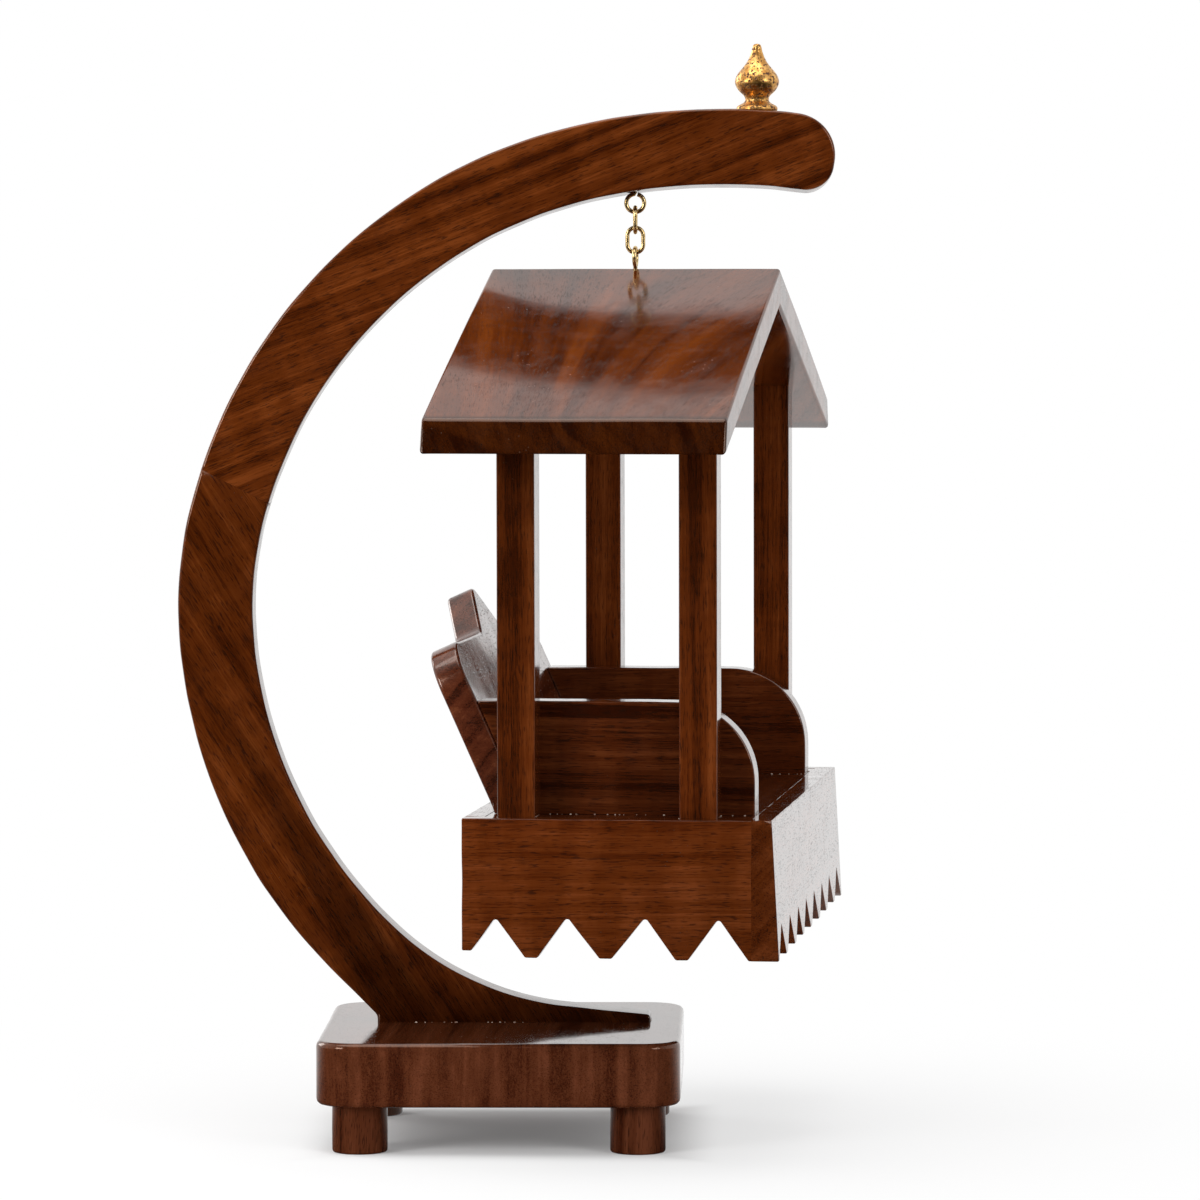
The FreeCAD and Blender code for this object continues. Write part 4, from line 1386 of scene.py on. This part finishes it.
@dataclass(frozen=True)
class RoofSlope:
    """One side of the roof: the crown of its board, its fanned grain and its dark cut eave."""

    ridge: Vector
    fall: Vector
    normal: Vector
    span: float
    reach: Point
    crown: float
    unevenness: float = 0.12
    crowned_depth: float = 0.5
    eave: float = 0.988
    eave_tone: float = 0.34
    fan: Point = (-0.15, 0.5)

    def share(self, point: Vector) -> float:
        """How far down the slope a point lies: 0 at the ridge and 1 at the eave."""
        return (point - self.ridge).dot(self.fall) / self.span

    def crowned(self, point: Vector) -> Vector:
        """Lift the board's upper side into a low, uneven crown.

        Args:
            point: A point of the board.

        Returns:
            How far it is lifted.
        """
        if (point - self.ridge).dot(self.normal) < -self.crowned_depth:
            return Vector()
        share = self.share(point)
        lift = self.crown * (1 - (2 * share - 1) ** 2)
        ripple = noise.noise(Vector((point.x * 0.03, share * 4, 9.0 + self.fall.y)))
        return self.normal * (lift + self.unevenness * ripple)

    def tone(self, point: Vector) -> float:
        """The board's tone at a point: dark at its cut eave."""
        return self.eave_tone if self.share(point) > self.eave else 1.0

    def fanned(self, point: Vector) -> Vector:
        """Fan the grain out towards the front of the roof.

        Args:
            point: A point of the board.

        Returns:
            The point of a straight-grained board whose grain shows there.
        """
        climb = self.span / 2 - (point - self.ridge).dot(self.fall)
        across = smooth_share(share_between(point.x, *self.reach))
        return point - X * climb * (self.fan[0] + self.fan[1] * across)


@dataclass
class Swing:
    """The seat box with its posts, panels and backrest under a roof of two boards."""

    skirt: Triple = (83.6, 177.2, 37.6)
    skirt_thickness: float = 5.5
    skirt_arris: float = 0.35
    tooth_tip: float = 3.3
    notch_top: float = 0.9
    tooth_rounding: float = 0.9
    side_notches: tuple[float, ...] = (9.1, 28.5, 49.6, 69.3)
    side_depth: float = 10.7
    side_end_cut: float = 2.0
    front_flare: float = 3.0
    front_count: int = 8
    front_depth: float = 9.0
    saw_step: float = 2.0
    skirt_wander: float = 0.14
    seat_thickness: float = 8.0
    seat_drop: float = 0.06
    seat_arris: float = 0.25
    post_size: float = 10.3
    post_x: Point = (23.05, -26.15)
    post_arris: float = 0.5
    post_step: float = 12.0
    # Painted shade on the posts: lighter at the foot, darker under the roof.
    post_foot_tone: float = 1.3
    post_roof_shade: float = 0.45
    panel_height: float = 30.5
    panel_thickness: float = 9.8
    panel_front_x: float = 35.6
    panel_corner_radius: float = 21.5
    panel_arris: float = 0.6
    panel_wander: float = 0.12
    back_thickness: float = 8.1
    back_lean: float = 24.2
    back_foot_x: float = -26.2
    back_height: float = 50.3
    back_shoulder_radius: float = 12.0
    back_arris: float = 1.0
    back_wander: float = 0.15
    crest_half: float = 18.0
    crest_apex: float = 13.44
    crest_radii: Point = (9.0, 5.0)
    roof_pitch: float = 18.1
    roof_thickness: float = 9.8
    roof_half_span: float = 115.4
    roof_x: Point = (-46.4, 35.1)
    ridge_under: float = 136.05
    roof_arris: float = 0.9
    roof_crown: float = 0.5
    roof_step: float = 3.0
    roof_slices: int = 27
    ridge_gap: float = 0.03
    roof_askew: float = -1.2
    turn: float = -6.1

    def frame(self) -> tuple[Matrix, Vector, float]:
        """Where the swing hangs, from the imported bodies.

        Returns:
            The swing's frame, the hanging point over it and the balance point along its X.
        """
        low, high = (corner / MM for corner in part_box("seat_board"))
        link_low, link_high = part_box("upper_link")
        pivot = (link_low + link_high) / 2 / MM
        turn = Matrix.Rotation(math.radians(self.turn), 4, "Z")
        middle = (low + high) / 2 - pivot
        balance = -(turn.inverted() @ middle).x
        frame = Matrix.Translation((pivot.x, pivot.y, high.z)) @ turn @ Matrix.Translation((-balance, 0, 0))
        return frame, pivot, balance

    @property
    def inner_y(self) -> float:
        """The inner faces of the side skirts."""
        return self.skirt[1] / 2 - self.skirt_thickness

    @property
    def panel_y(self) -> float:
        """The outer faces of the side panels."""
        return self.inner_y - self.post_size

    @property
    def slope(self) -> float:
        """The roof's fall per unit of span."""
        return math.tan(math.radians(self.roof_pitch))

    @property
    def post_slip(self) -> float:
        """How far each side's posts stand off along X, under the ends of the askew roof."""
        return -(self.inner_y - self.post_size / 2) * math.tan(math.radians(self.roof_askew))

    @property
    def ridge_top(self) -> float:
        """The ridge's height over the skirt's top."""
        return self.ridge_under + self.roof_thickness / math.cos(math.radians(self.roof_pitch))

    def toothed(self, length: float, height: float, depth: float, notches: list[float],
                first_cut: float) -> list[Point]:
        """The outline of a skirt board.

        Args:
            length: The board's length.
            height: Its height to the teeth's tips.
            depth: The notches' depth.
            notches: The notches' places along the board.
            first_cut: How much shorter the first tooth is.

        Returns:
            The outline's points, places along the board and heights below its top.
        """
        half_top, half_tip, r = self.notch_top / 2, self.tooth_tip / 2, self.tooth_rounding
        draw = random.Random(round(length * 10))
        corners = [(0.0, 0.0, 0.0), (0.0, -height + first_cut, 0.0)]
        slope = 2 * depth / (notches[1] - notches[0] - 2 * half_top - 2 * half_tip)
        corners.append((notches[0] - half_top - (depth - first_cut) / slope, -height + first_cut, 0.0))
        for index, notch in enumerate(notches):
            lift = depth + draw.uniform(-0.35, 0.35)
            corners += [(notch - half_top, -height + lift, 0.0), (notch + half_top, -height + lift, 0.0)]
            if index + 1 < len(notches):
                middle = (notch + notches[index + 1]) / 2 + draw.uniform(-0.4, 0.4)
                drop = draw.uniform(-0.05, 0.3)
                corners += [(middle - half_tip, -height + drop, r), (middle + half_tip, -height + drop, r)]
        last = notches[-1] + half_top + depth / slope
        if last < length - 0.6:
            corners.append((last, -height, 0.0))
            corners.append((length, -height, 0.0))
        else:
            corners.append((length, -height + max(0.0, (last - length) * slope), 0.0))
        corners.append((length, 0.0, 0.0))
        return rounded(corners)

    def build(self) -> None:
        """Make and dress every piece of the swing."""
        frame, pivot, balance = self.frame()
        over_eye = Matrix.Translation((balance, 0, 0))
        askew = frame @ over_eye @ Matrix.Rotation(math.radians(self.roof_askew), 4, "Z") @ over_eye.inverted()
        for board, material, node in self.boards(balance):
            board_frame = askew if node.startswith("roof") else frame
            dress(board.build(board_frame), material.material(), Body.SWING, (node,))
        dress(self.glue().build(frame), GLUE.material(), Body.SWING)
        hook = Vector((pivot.x, pivot.y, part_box("arm_eye")[1].z / MM - Chain.shank))
        Chain().build(frame, hook, balance, self.ridge_top)

    def boards(self, balance: float) -> list[FinishedBoard]:
        """Every board of the swing with its finish and the solid that it stands for.

        Args:
            balance: The balance point along X.

        Returns:
            The boards.
        """
        box = self.skirts() + [self.seat()] + self.panels() + [self.backrest()]
        return box + self.posts(balance) + self.roof()

    def skirts(self) -> list[FinishedBoard]:
        """Saw the four toothed boards of the skirt.

        Returns:
            Each board with its finish and the solid that it stands for.
        """
        length, width, height = self.skirt
        t = self.skirt_thickness
        draw = random.Random(11)
        pitch = width / self.front_count
        front = [pitch * (k + 0.5) + draw.uniform(-0.5, 0.5) for k in range(self.front_count)]
        back_width = width - 2 * t
        back_pitch = back_width / self.front_count
        back = [back_pitch * (k + 0.5) + draw.uniform(-0.5, 0.5) for k in range(self.front_count)]
        side = self.toothed(length - t, height, self.side_depth, list(self.side_notches), self.side_end_cut)
        left_plane = upright_plane(Vector((-length / 2, -width / 2, 0)), X, Z) @ Matrix.Translation((0, 0, -t))
        right_plane = upright_plane(Vector((-length / 2, width / 2, 0)), X, Z)
        front_plane = upright_plane(Vector((length / 2 - t, -width / 2, 0)), Y, Z)
        back_plane = upright_plane(Vector((-length / 2, -back_width / 2, 0)), Y, Z)
        front_outline = self.toothed(width, height, self.front_depth, front, 0.0)
        back_outline = self.toothed(back_width, height - self.side_depth, self.front_depth, back, 0.0)
        end = length / 2 - 0.2
        flare = math.tan(math.radians(self.front_flare))

        def sawn(outline: list[Point], seed: float) -> list[Point]:
            """Let the outline of a skirt board wander as its saw did."""
            return hand_cut(divided(outline, self.saw_step), self.skirt_wander, seed)

        def leaning(point: Vector) -> Vector:
            """How far the front board's outer face leans out at a point."""
            return X * (-point.z * flare if point.x > end else 0.0)

        def painted_top_light(point: Vector) -> float:
            """The left board's tone at a point, painted light and shade: lightest behind and at the top, darker
            towards the front and the teeth.
            """
            return 1.22 - 0.22 * (point.x + length / 2) / length + 0.26 * point.z / height

        def dark_ended(point: Vector) -> float:
            """The front board's tone at a point: darker on its sawn ends."""
            return 0.72 if abs(point.y) > width / 2 - 0.7 else 1.0

        return [
            # The left board's tone is painted light and shade, lighter high and behind.
            (Board("skirt_left_board", sawn(side, 21.0), t, left_plane,
                   GrainRun(X + Z * 0.02, Z + Y * 0.25, pith=120.0, shift=15.0, shade=painted_top_light), self.skirt_arris,
                   eased=lambda middle, run: middle.x < end - t), SKIRT_TIMBER, "skirt_left"),
            (Board("skirt_right_board", sawn(side, 25.0), t, right_plane,
                   GrainRun(X - Z * 0.03, Z - Y * 0.2, pith=120.0, shift=415.0), self.skirt_arris,
                   eased=lambda middle, run: middle.x < end - t), SKIRT_TIMBER, "skirt_right"),
            (Board("skirt_front_board", sawn(front_outline, 29.0), t, front_plane,
                   GrainRun(Y + Z * 0.02, Z + X * 0.3, pith=110.0, shift=715.0, shade=dark_ended), self.skirt_arris,
                   relief=leaning, eased=lambda middle, run: middle.x > end - 0.4), SKIRT_TIMBER, "skirt_front"),
            (Board("skirt_back_board", sawn(back_outline, 33.0), t, back_plane,
                   GrainRun(Y - Z * 0.02, Z - X * 0.3, pith=110.0, shift=1015.0), self.skirt_arris,
                   eased=lambda middle, run: middle.x < -end + 0.4), SKIRT_TIMBER, "skirt_back"),
        ]

    def seat(self) -> FinishedBoard:
        """Saw the seat board, let in level with the skirt's top.

        Returns:
            The board with its finish and the solid that it stands for.
        """
        x, y = self.skirt[0] / 2 - self.skirt_thickness, self.inner_y
        outline = [(-x, -y), (x, -y), (x, y), (-x, y)]
        plane = Matrix.Translation(Z * (-self.seat_thickness - self.seat_drop))
        grain = GrainRun(Y + X * 0.03, Z * 0.6 + X, pith=140.0, shift=220.0)
        board = Board("seat_plank", outline, self.seat_thickness, plane, grain, self.seat_arris)
        return board, PANEL_TIMBER, "seat_board"

    def panels(self) -> list[FinishedBoard]:
        """Saw the two side panels, round at the front and cut to the backrest behind.

        Returns:
            Each panel with its finish and the solid that it stands for.
        """
        lean = math.tan(math.radians(self.back_lean))
        top_x = self.back_foot_x - self.panel_height * lean
        outline = rounded([(self.back_foot_x, 0, 0), (self.panel_front_x, 0, 0),
                           (self.panel_front_x, self.panel_height, self.panel_corner_radius),
                           (top_x, self.panel_height, 0)])
        made = []
        for name, side, shift in (("left", -1, 40.0), ("right", 1, 640.0)):
            inner = side * self.panel_y if side > 0 else side * self.panel_y + self.panel_thickness
            plane = upright_plane(Vector((0, inner, 0)), X, Z)
            grain = GrainRun(X + Z * 0.015 * side, Z + Y * 0.2, pith=100.0, shift=shift, tone=0.95)
            sawn = hand_cut(divided(outline, self.saw_step), self.panel_wander, shift)
            board = Board("panel_" + name + "_board", sawn, self.panel_thickness, plane, grain, self.panel_arris,
                          eased=lambda middle, run: middle.z > 0.3)
            made.append((board, PANEL_TIMBER, "side_panel_" + name))
        return made

    def backrest(self) -> FinishedBoard:
        """Saw the leaning backrest with its round shoulders and pointed crest.

        Returns:
            The board with its finish and the solid that it stands for.
        """
        half, top = self.panel_y, self.back_height
        foot_radius, tip_radius = self.crest_radii
        r = self.back_shoulder_radius
        low = -self.back_thickness
        outline = rounded([(-half, low, 0), (half, low, 0), (half, top, r), (self.crest_half, top, foot_radius),
                           (0, top + self.crest_apex, tip_radius), (-self.crest_half, top, foot_radius),
                           (-half, top, r)])
        lean = Matrix.Translation((self.back_foot_x, 0, 0)) @ Matrix.Rotation(math.radians(-self.back_lean), 4, "Y")
        plane = lean @ upright_plane(X * -self.back_thickness, Y, Z)
        grain = GrainRun(Y, Vector((-0.41, 0, 0.91)) + X * 0.4, pith=120.0, shift=330.0)
        sawn = hand_cut(divided(outline, self.saw_step), self.back_wander, seed=51.0)
        board = Board("backrest_board", sawn, self.back_thickness, plane, grain, self.back_arris,
                      eased=lambda middle, run: middle.z > 1.0, cuts=[(Vector((0, 0, 0.02)), Z * -1)])
        return board, BACK_TIMBER, "backrest"

    def post_painted_shade(self, point: Vector) -> float:
        """A post's tone at a point, with painted shade: darker towards the roof that hangs over it."""
        return self.post_foot_tone - self.post_roof_shade * point.z / self.ridge_under

    def posts(self, balance: float) -> list[FinishedBoard]:
        """The four square posts, their tops cut to the roof's slope.

        Args:
            balance: The balance point along X, about which the roof is askew.

        Returns:
            Each post with its finish and the solid that it stands for.
        """
        made = []
        half = self.post_size / 2
        askew = Matrix.Rotation(math.radians(self.roof_askew), 3, "Z")
        for index, (end, x) in enumerate((("front", self.post_x[0]), ("back", self.post_x[1]))):
            for name, side in (("left", -1), ("right", 1)):
                inner, outer = side * self.panel_y, side * self.inner_y
                outline = divided([(inner, 0), (outer, 0), (outer, self.ridge_under), (inner, self.ridge_under)],
                                  self.post_step)
                plane = upright_plane(Vector((x + side * self.post_slip - half, 0, 0)), Y, Z)
                roof_side = askew @ Vector((0, side * self.slope, 1)).normalized()
                shift = 120.0 * (2 * index + side)
                grain = GrainRun(Z + X * 0.012 * side, X + Y * 0.35 * side, pith=60.0 + 12 * index, shift=shift,
                                 tone=1.0 - 0.05 * index, shade=self.post_painted_shade)
                board = Board(f"post_{end}_{name}_bar", outline, self.post_size, plane, grain, self.post_arris,
                              eased=lambda middle, run: abs(run.z) > 0.9,
                              cuts=[(Vector((balance, 0, self.ridge_under)), roof_side)])
                made.append((board, POST_TIMBER, f"post_{end}_{name}"))
        return made

    def roof(self) -> list[FinishedBoard]:
        """Saw the two roof boards, from the ridge joint to their square-cut eaves.

        Returns:
            Each board with its finish and the solid that it stands for.
        """
        pitch = math.radians(self.roof_pitch)
        eave_z = self.ridge_under - self.roof_half_span * self.slope
        top_y = self.roof_half_span - self.roof_thickness * math.sin(pitch)
        top_z = eave_z + self.roof_thickness * math.cos(pitch)
        depth = self.roof_x[1] - self.roof_x[0]
        plane = upright_plane(Vector((self.roof_x[0], 0, 0)), Y, Z)
        made = []
        for name, side, shift in (("left", -1, 80.0), ("right", 1, 540.0)):
            gap = side * self.ridge_gap
            corners = [(gap, self.ridge_under), (gap, self.ridge_top), (side * top_y, top_z),
                       (side * self.roof_half_span, eave_z)]
            fall = Vector((0, side * top_y, top_z - self.ridge_top))
            span = fall.length
            fall.normalize()
            normal = Vector((0, -side * fall.z, side * fall.y))
            slope = RoofSlope(Z * self.ridge_top, fall, normal, span, self.roof_x, self.roof_crown)
            grain = GrainRun(fall * -1, X + normal * 0.5, pith=130.0, shift=shift,
                             shade=slope.tone, bend=slope.fanned)
            board = Board(f"roof_{name}_board", divided(corners, self.roof_step), depth, plane, grain,
                          self.roof_arris, slices=self.roof_slices, relief=slope.crowned,
                          eased=lambda middle, run: abs(middle.y) > 0.5)
            made.append((board, ROOF_TIMBER, f"roof_board_{name}"))
        return made

    def glue(self) -> GlueBeads:
        """Set the glue round the posts' feet and along the panels and the backrest.

        Returns:
            The rows of beads.
        """
        runs = []
        half = self.post_size / 2
        for side in (-1, 1):
            outer, inner = side * self.panel_y, side * (self.panel_y - self.panel_thickness)
            for y in (outer, inner):
                runs.append((Vector((self.back_foot_x + 2, y, 0)), Vector((self.panel_front_x, y, 0))))
            runs.append((Vector((self.panel_front_x, outer, 0)), Vector((self.panel_front_x, inner, 0))))
            for x in self.post_x:
                x += side * self.post_slip
                for edge in (x - half, x + half):
                    runs.append((Vector((edge, outer, 0)), Vector((edge, side * self.inner_y, 0))))
        runs.append((Vector((self.back_foot_x, -self.panel_y, 0)), Vector((self.back_foot_x, self.panel_y, 0))))
        return GlueBeads("swing_glue", runs, seed=23, spacing=1.7, size=0.16)


# The hidden fixings


def dress_fixings(nodes: dict[str, bpy.types.Object]) -> None:
    """Give the pins, screws and dowels inside the joints their materials.

    Args:
        nodes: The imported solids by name.
    """
    finishes = {
        "arm_dowels": DOWEL_TIMBER_ARM, "ridge_dowels": DOWEL_TIMBER_ACROSS, "arm_screws": PIN_STEEL,
        "finial_stud": PIN_STEEL, "roof_pins": PIN_STEEL, "skirt_pins": PIN_STEEL, "seat_upright_pins": PIN_STEEL,
    }
    for name, finish in finishes.items():
        for holder in nodes[name].material_slots:
            holder.material = finish.material()
        log.info("%s: %s", name, finish.name)


# The studio


@dataclass
class Studio:
    """The pale floor, the soft lights, the white surroundings and the camera."""

    camera_place: Triple = (71.94, -1831.74, 253.68)
    camera_turns: Triple = (1.400, 3.253, 0.121)
    focal_share: float = 6574.0 / 1200.0
    sensor: float = 36.0
    floor_near: float = -330.0
    floor_far: float = 9000.0
    floor_half_width: float = 6000.0
    # The floor's glow gives way under the base's footprint, a painted shadow, and grows with distance from the
    # object.
    shade_edge: Point = (0.040, 0.062)
    shade_glow: Point = (0.13, 0.66)
    floor_clear: Point = (0.06, 0.30)
    floor_lift: float = 0.34
    mirrored_floor: Point = (-0.06, 0.16)
    mirrored_room: Point = (-0.62, -0.12)
    ambient: float = 0.42

    def build(self) -> None:
        """Set up the camera, the floor, the world and the lamps."""
        self.camera()
        self.floor()
        self.world()
        self.lamp("top_softbox", (-150, -150, 1500), (0, 0, 100), 1300, 14.0)
        self.lamp("front_left_softbox", (-1650, -1500, 820), (0, 0, 120), 900, 29.0)
        self.lamp("front_right_softbox", (1500, -1500, 900), (0, 0, 120), 900, 14.0)
        self.lamp("rear_softbox", (-1500, 1200, 800), (0, 0, 120), 900, 12.0)

    def camera(self) -> None:
        """Place the camera where the photograph was taken from."""
        yaw, pitch, roll = (math.radians(a) for a in self.camera_turns)
        turn = Matrix.Rotation(yaw, 3, "Z") @ Matrix.Rotation(-pitch, 3, "X") @ Matrix.Rotation(roll, 3, "Y")
        right, forward, up = turn @ X, turn @ Y, turn @ Z
        data = bpy.data.cameras.new("camera")
        data.sensor_width = self.sensor
        data.lens = self.focal_share * self.sensor
        data.clip_start, data.clip_end = 0.01, 50.0
        eye = bpy.data.objects.new("camera", data)
        axes = Matrix((right, up, -forward)).transposed().to_4x4()
        eye.matrix_world = Matrix.Translation(Vector(self.camera_place) * MM) @ axes
        bpy.context.scene.collection.objects.link(eye)
        bpy.context.scene.camera = eye

    def floor(self) -> None:
        """Lay the floor: it glows white away from the object, with a painted shadow under the base's footprint over
        the object's real soft shadow.
        """
        shape = bmesh.new()
        w = self.floor_half_width
        corners = [shape.verts.new(Vector(c) * MM) for c in (
            (-w, self.floor_near, 0), (w, self.floor_near, 0), (w, self.floor_far, 0), (-w, self.floor_far, 0))]
        shape.faces.new(corners)
        floor = new_piece("floor", shape)
        material = bpy.data.materials.new("pale_floor")
        material.use_nodes = True
        material.node_tree.nodes.clear()
        graph = Graph(material.node_tree)
        matt = graph.node("ShaderNodeBsdfDiffuse")
        graph.feed(matt.inputs["Color"], (0.86, 0.86, 0.86))
        glow = graph.node("ShaderNodeEmission")
        graph.feed(glow.inputs["Color"], (1.0, 1.0, 1.0))
        place = graph.node("ShaderNodeNewGeometry").outputs["Position"]
        away = graph.node("ShaderNodeVectorMath", operation="LENGTH")
        graph.feed(away.inputs[0], place)
        parts = graph.node("ShaderNodeSeparateXYZ")
        graph.feed(parts.inputs[0], place)
        rays = graph.node("ShaderNodeLightPath").outputs
        sides = [graph.maths("ABSOLUTE", parts.outputs[axis]) for axis in range(2)]
        # Painted shadow: little glow under the base's footprint, so the floor is dark there whatever the light; the
        # glow grows outside it and with distance.
        under = graph.ramp(graph.maths("MAXIMUM", *sides), *self.shade_edge, *self.shade_glow)
        clear = graph.maths("ADD", under,
                            graph.ramp(away.outputs["Value"], *self.floor_clear, 0.0, self.floor_lift))
        mixed = graph.node("ShaderNodeMixShader")
        for socket, value in zip(mixed.inputs, (clear, matt.outputs[0], glow.outputs[0])):
            graph.feed(socket, value)
        mirrored = graph.node("ShaderNodeEmission")
        graph.feed(mirrored.inputs["Strength"], graph.ramp(parts.outputs[1], *self.mirrored_floor))
        shown = graph.node("ShaderNodeMixShader")
        for socket, value in zip(shown.inputs, (rays["Is Camera Ray"], matt.outputs[0], mixed.outputs[0])):
            graph.feed(socket, value)
        whole = graph.node("ShaderNodeMixShader")
        for socket, value in zip(whole.inputs, (rays["Is Glossy Ray"], shown.outputs[0], mirrored.outputs[0])):
            graph.feed(socket, value)
        graph.feed(graph.node("ShaderNodeOutputMaterial").inputs["Surface"], whole.outputs[0])
        floor.data.materials.append(material)

    def world(self) -> None:
        """White surroundings that dim towards the camera's side, and even light on the object."""
        world = bpy.data.worlds.new("white_studio")
        world.use_nodes = True
        world.node_tree.nodes.clear()
        bpy.context.scene.world = world
        graph = Graph(world.node_tree)
        parts = graph.node("ShaderNodeSeparateXYZ")
        graph.feed(parts.inputs[0], graph.node("ShaderNodeTexCoord").outputs["Generated"])
        room = graph.ramp(parts.outputs[1], *self.mirrored_room)
        rays = graph.node("ShaderNodeLightPath").outputs
        shown = graph.maths("MAXIMUM", rays["Is Camera Ray"], rays["Is Transmission Ray"])
        mirrored = graph.maths("MULTIPLY", rays["Is Glossy Ray"], room)
        direct = graph.maths("MAXIMUM", shown, mirrored)
        unseen = graph.maths("SUBTRACT", 1.0, graph.maths("MAXIMUM", shown, rays["Is Glossy Ray"]))
        strength = graph.maths("ADD", direct, graph.maths("MULTIPLY", unseen, self.ambient))
        sky = graph.node("ShaderNodeBackground")
        graph.feed(sky.inputs["Color"], (1.0, 1.0, 1.0))
        graph.feed(sky.inputs["Strength"], strength)
        graph.feed(graph.node("ShaderNodeOutputWorld").inputs["Surface"], sky.outputs[0])

    @staticmethod
    def lamp(name: str, place: Triple, target: Triple, size: float, power: float) -> None:
        """Hang a square softbox.

        Args:
            name: The lamp's name.
            place: Its middle, in millimetres.
            target: What it points at.
            size: Its side.
            power: Its power in watts.
        """
        data = bpy.data.lights.new(name, "AREA")
        data.shape = "SQUARE"
        data.size = size * MM
        data.energy = power
        lamp = bpy.data.objects.new(name, data)
        way = (Vector(target) - Vector(place)).normalized()
        turn = way.to_track_quat("-Z", "Y").to_matrix().to_4x4()
        lamp.matrix_world = Matrix.Translation(Vector(place) * MM) @ turn
        bpy.context.scene.collection.objects.link(lamp)


def corners(box: tuple[Vector, Vector]) -> list[list[float]]:
    """A box's two corners as plain lists."""
    return [list(corner) for corner in box]


def main() -> None:
    """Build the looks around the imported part."""
    logging.basicConfig(level=logging.INFO, format="%(name)s %(message)s")
    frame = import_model()
    bpy.context.scene.view_settings.view_transform = "Standard"
    Studio().build()
    Stand().build()
    Swing().build()
    dress_fixings(frame["nodes"])


if __name__ == "__main__":
    main()
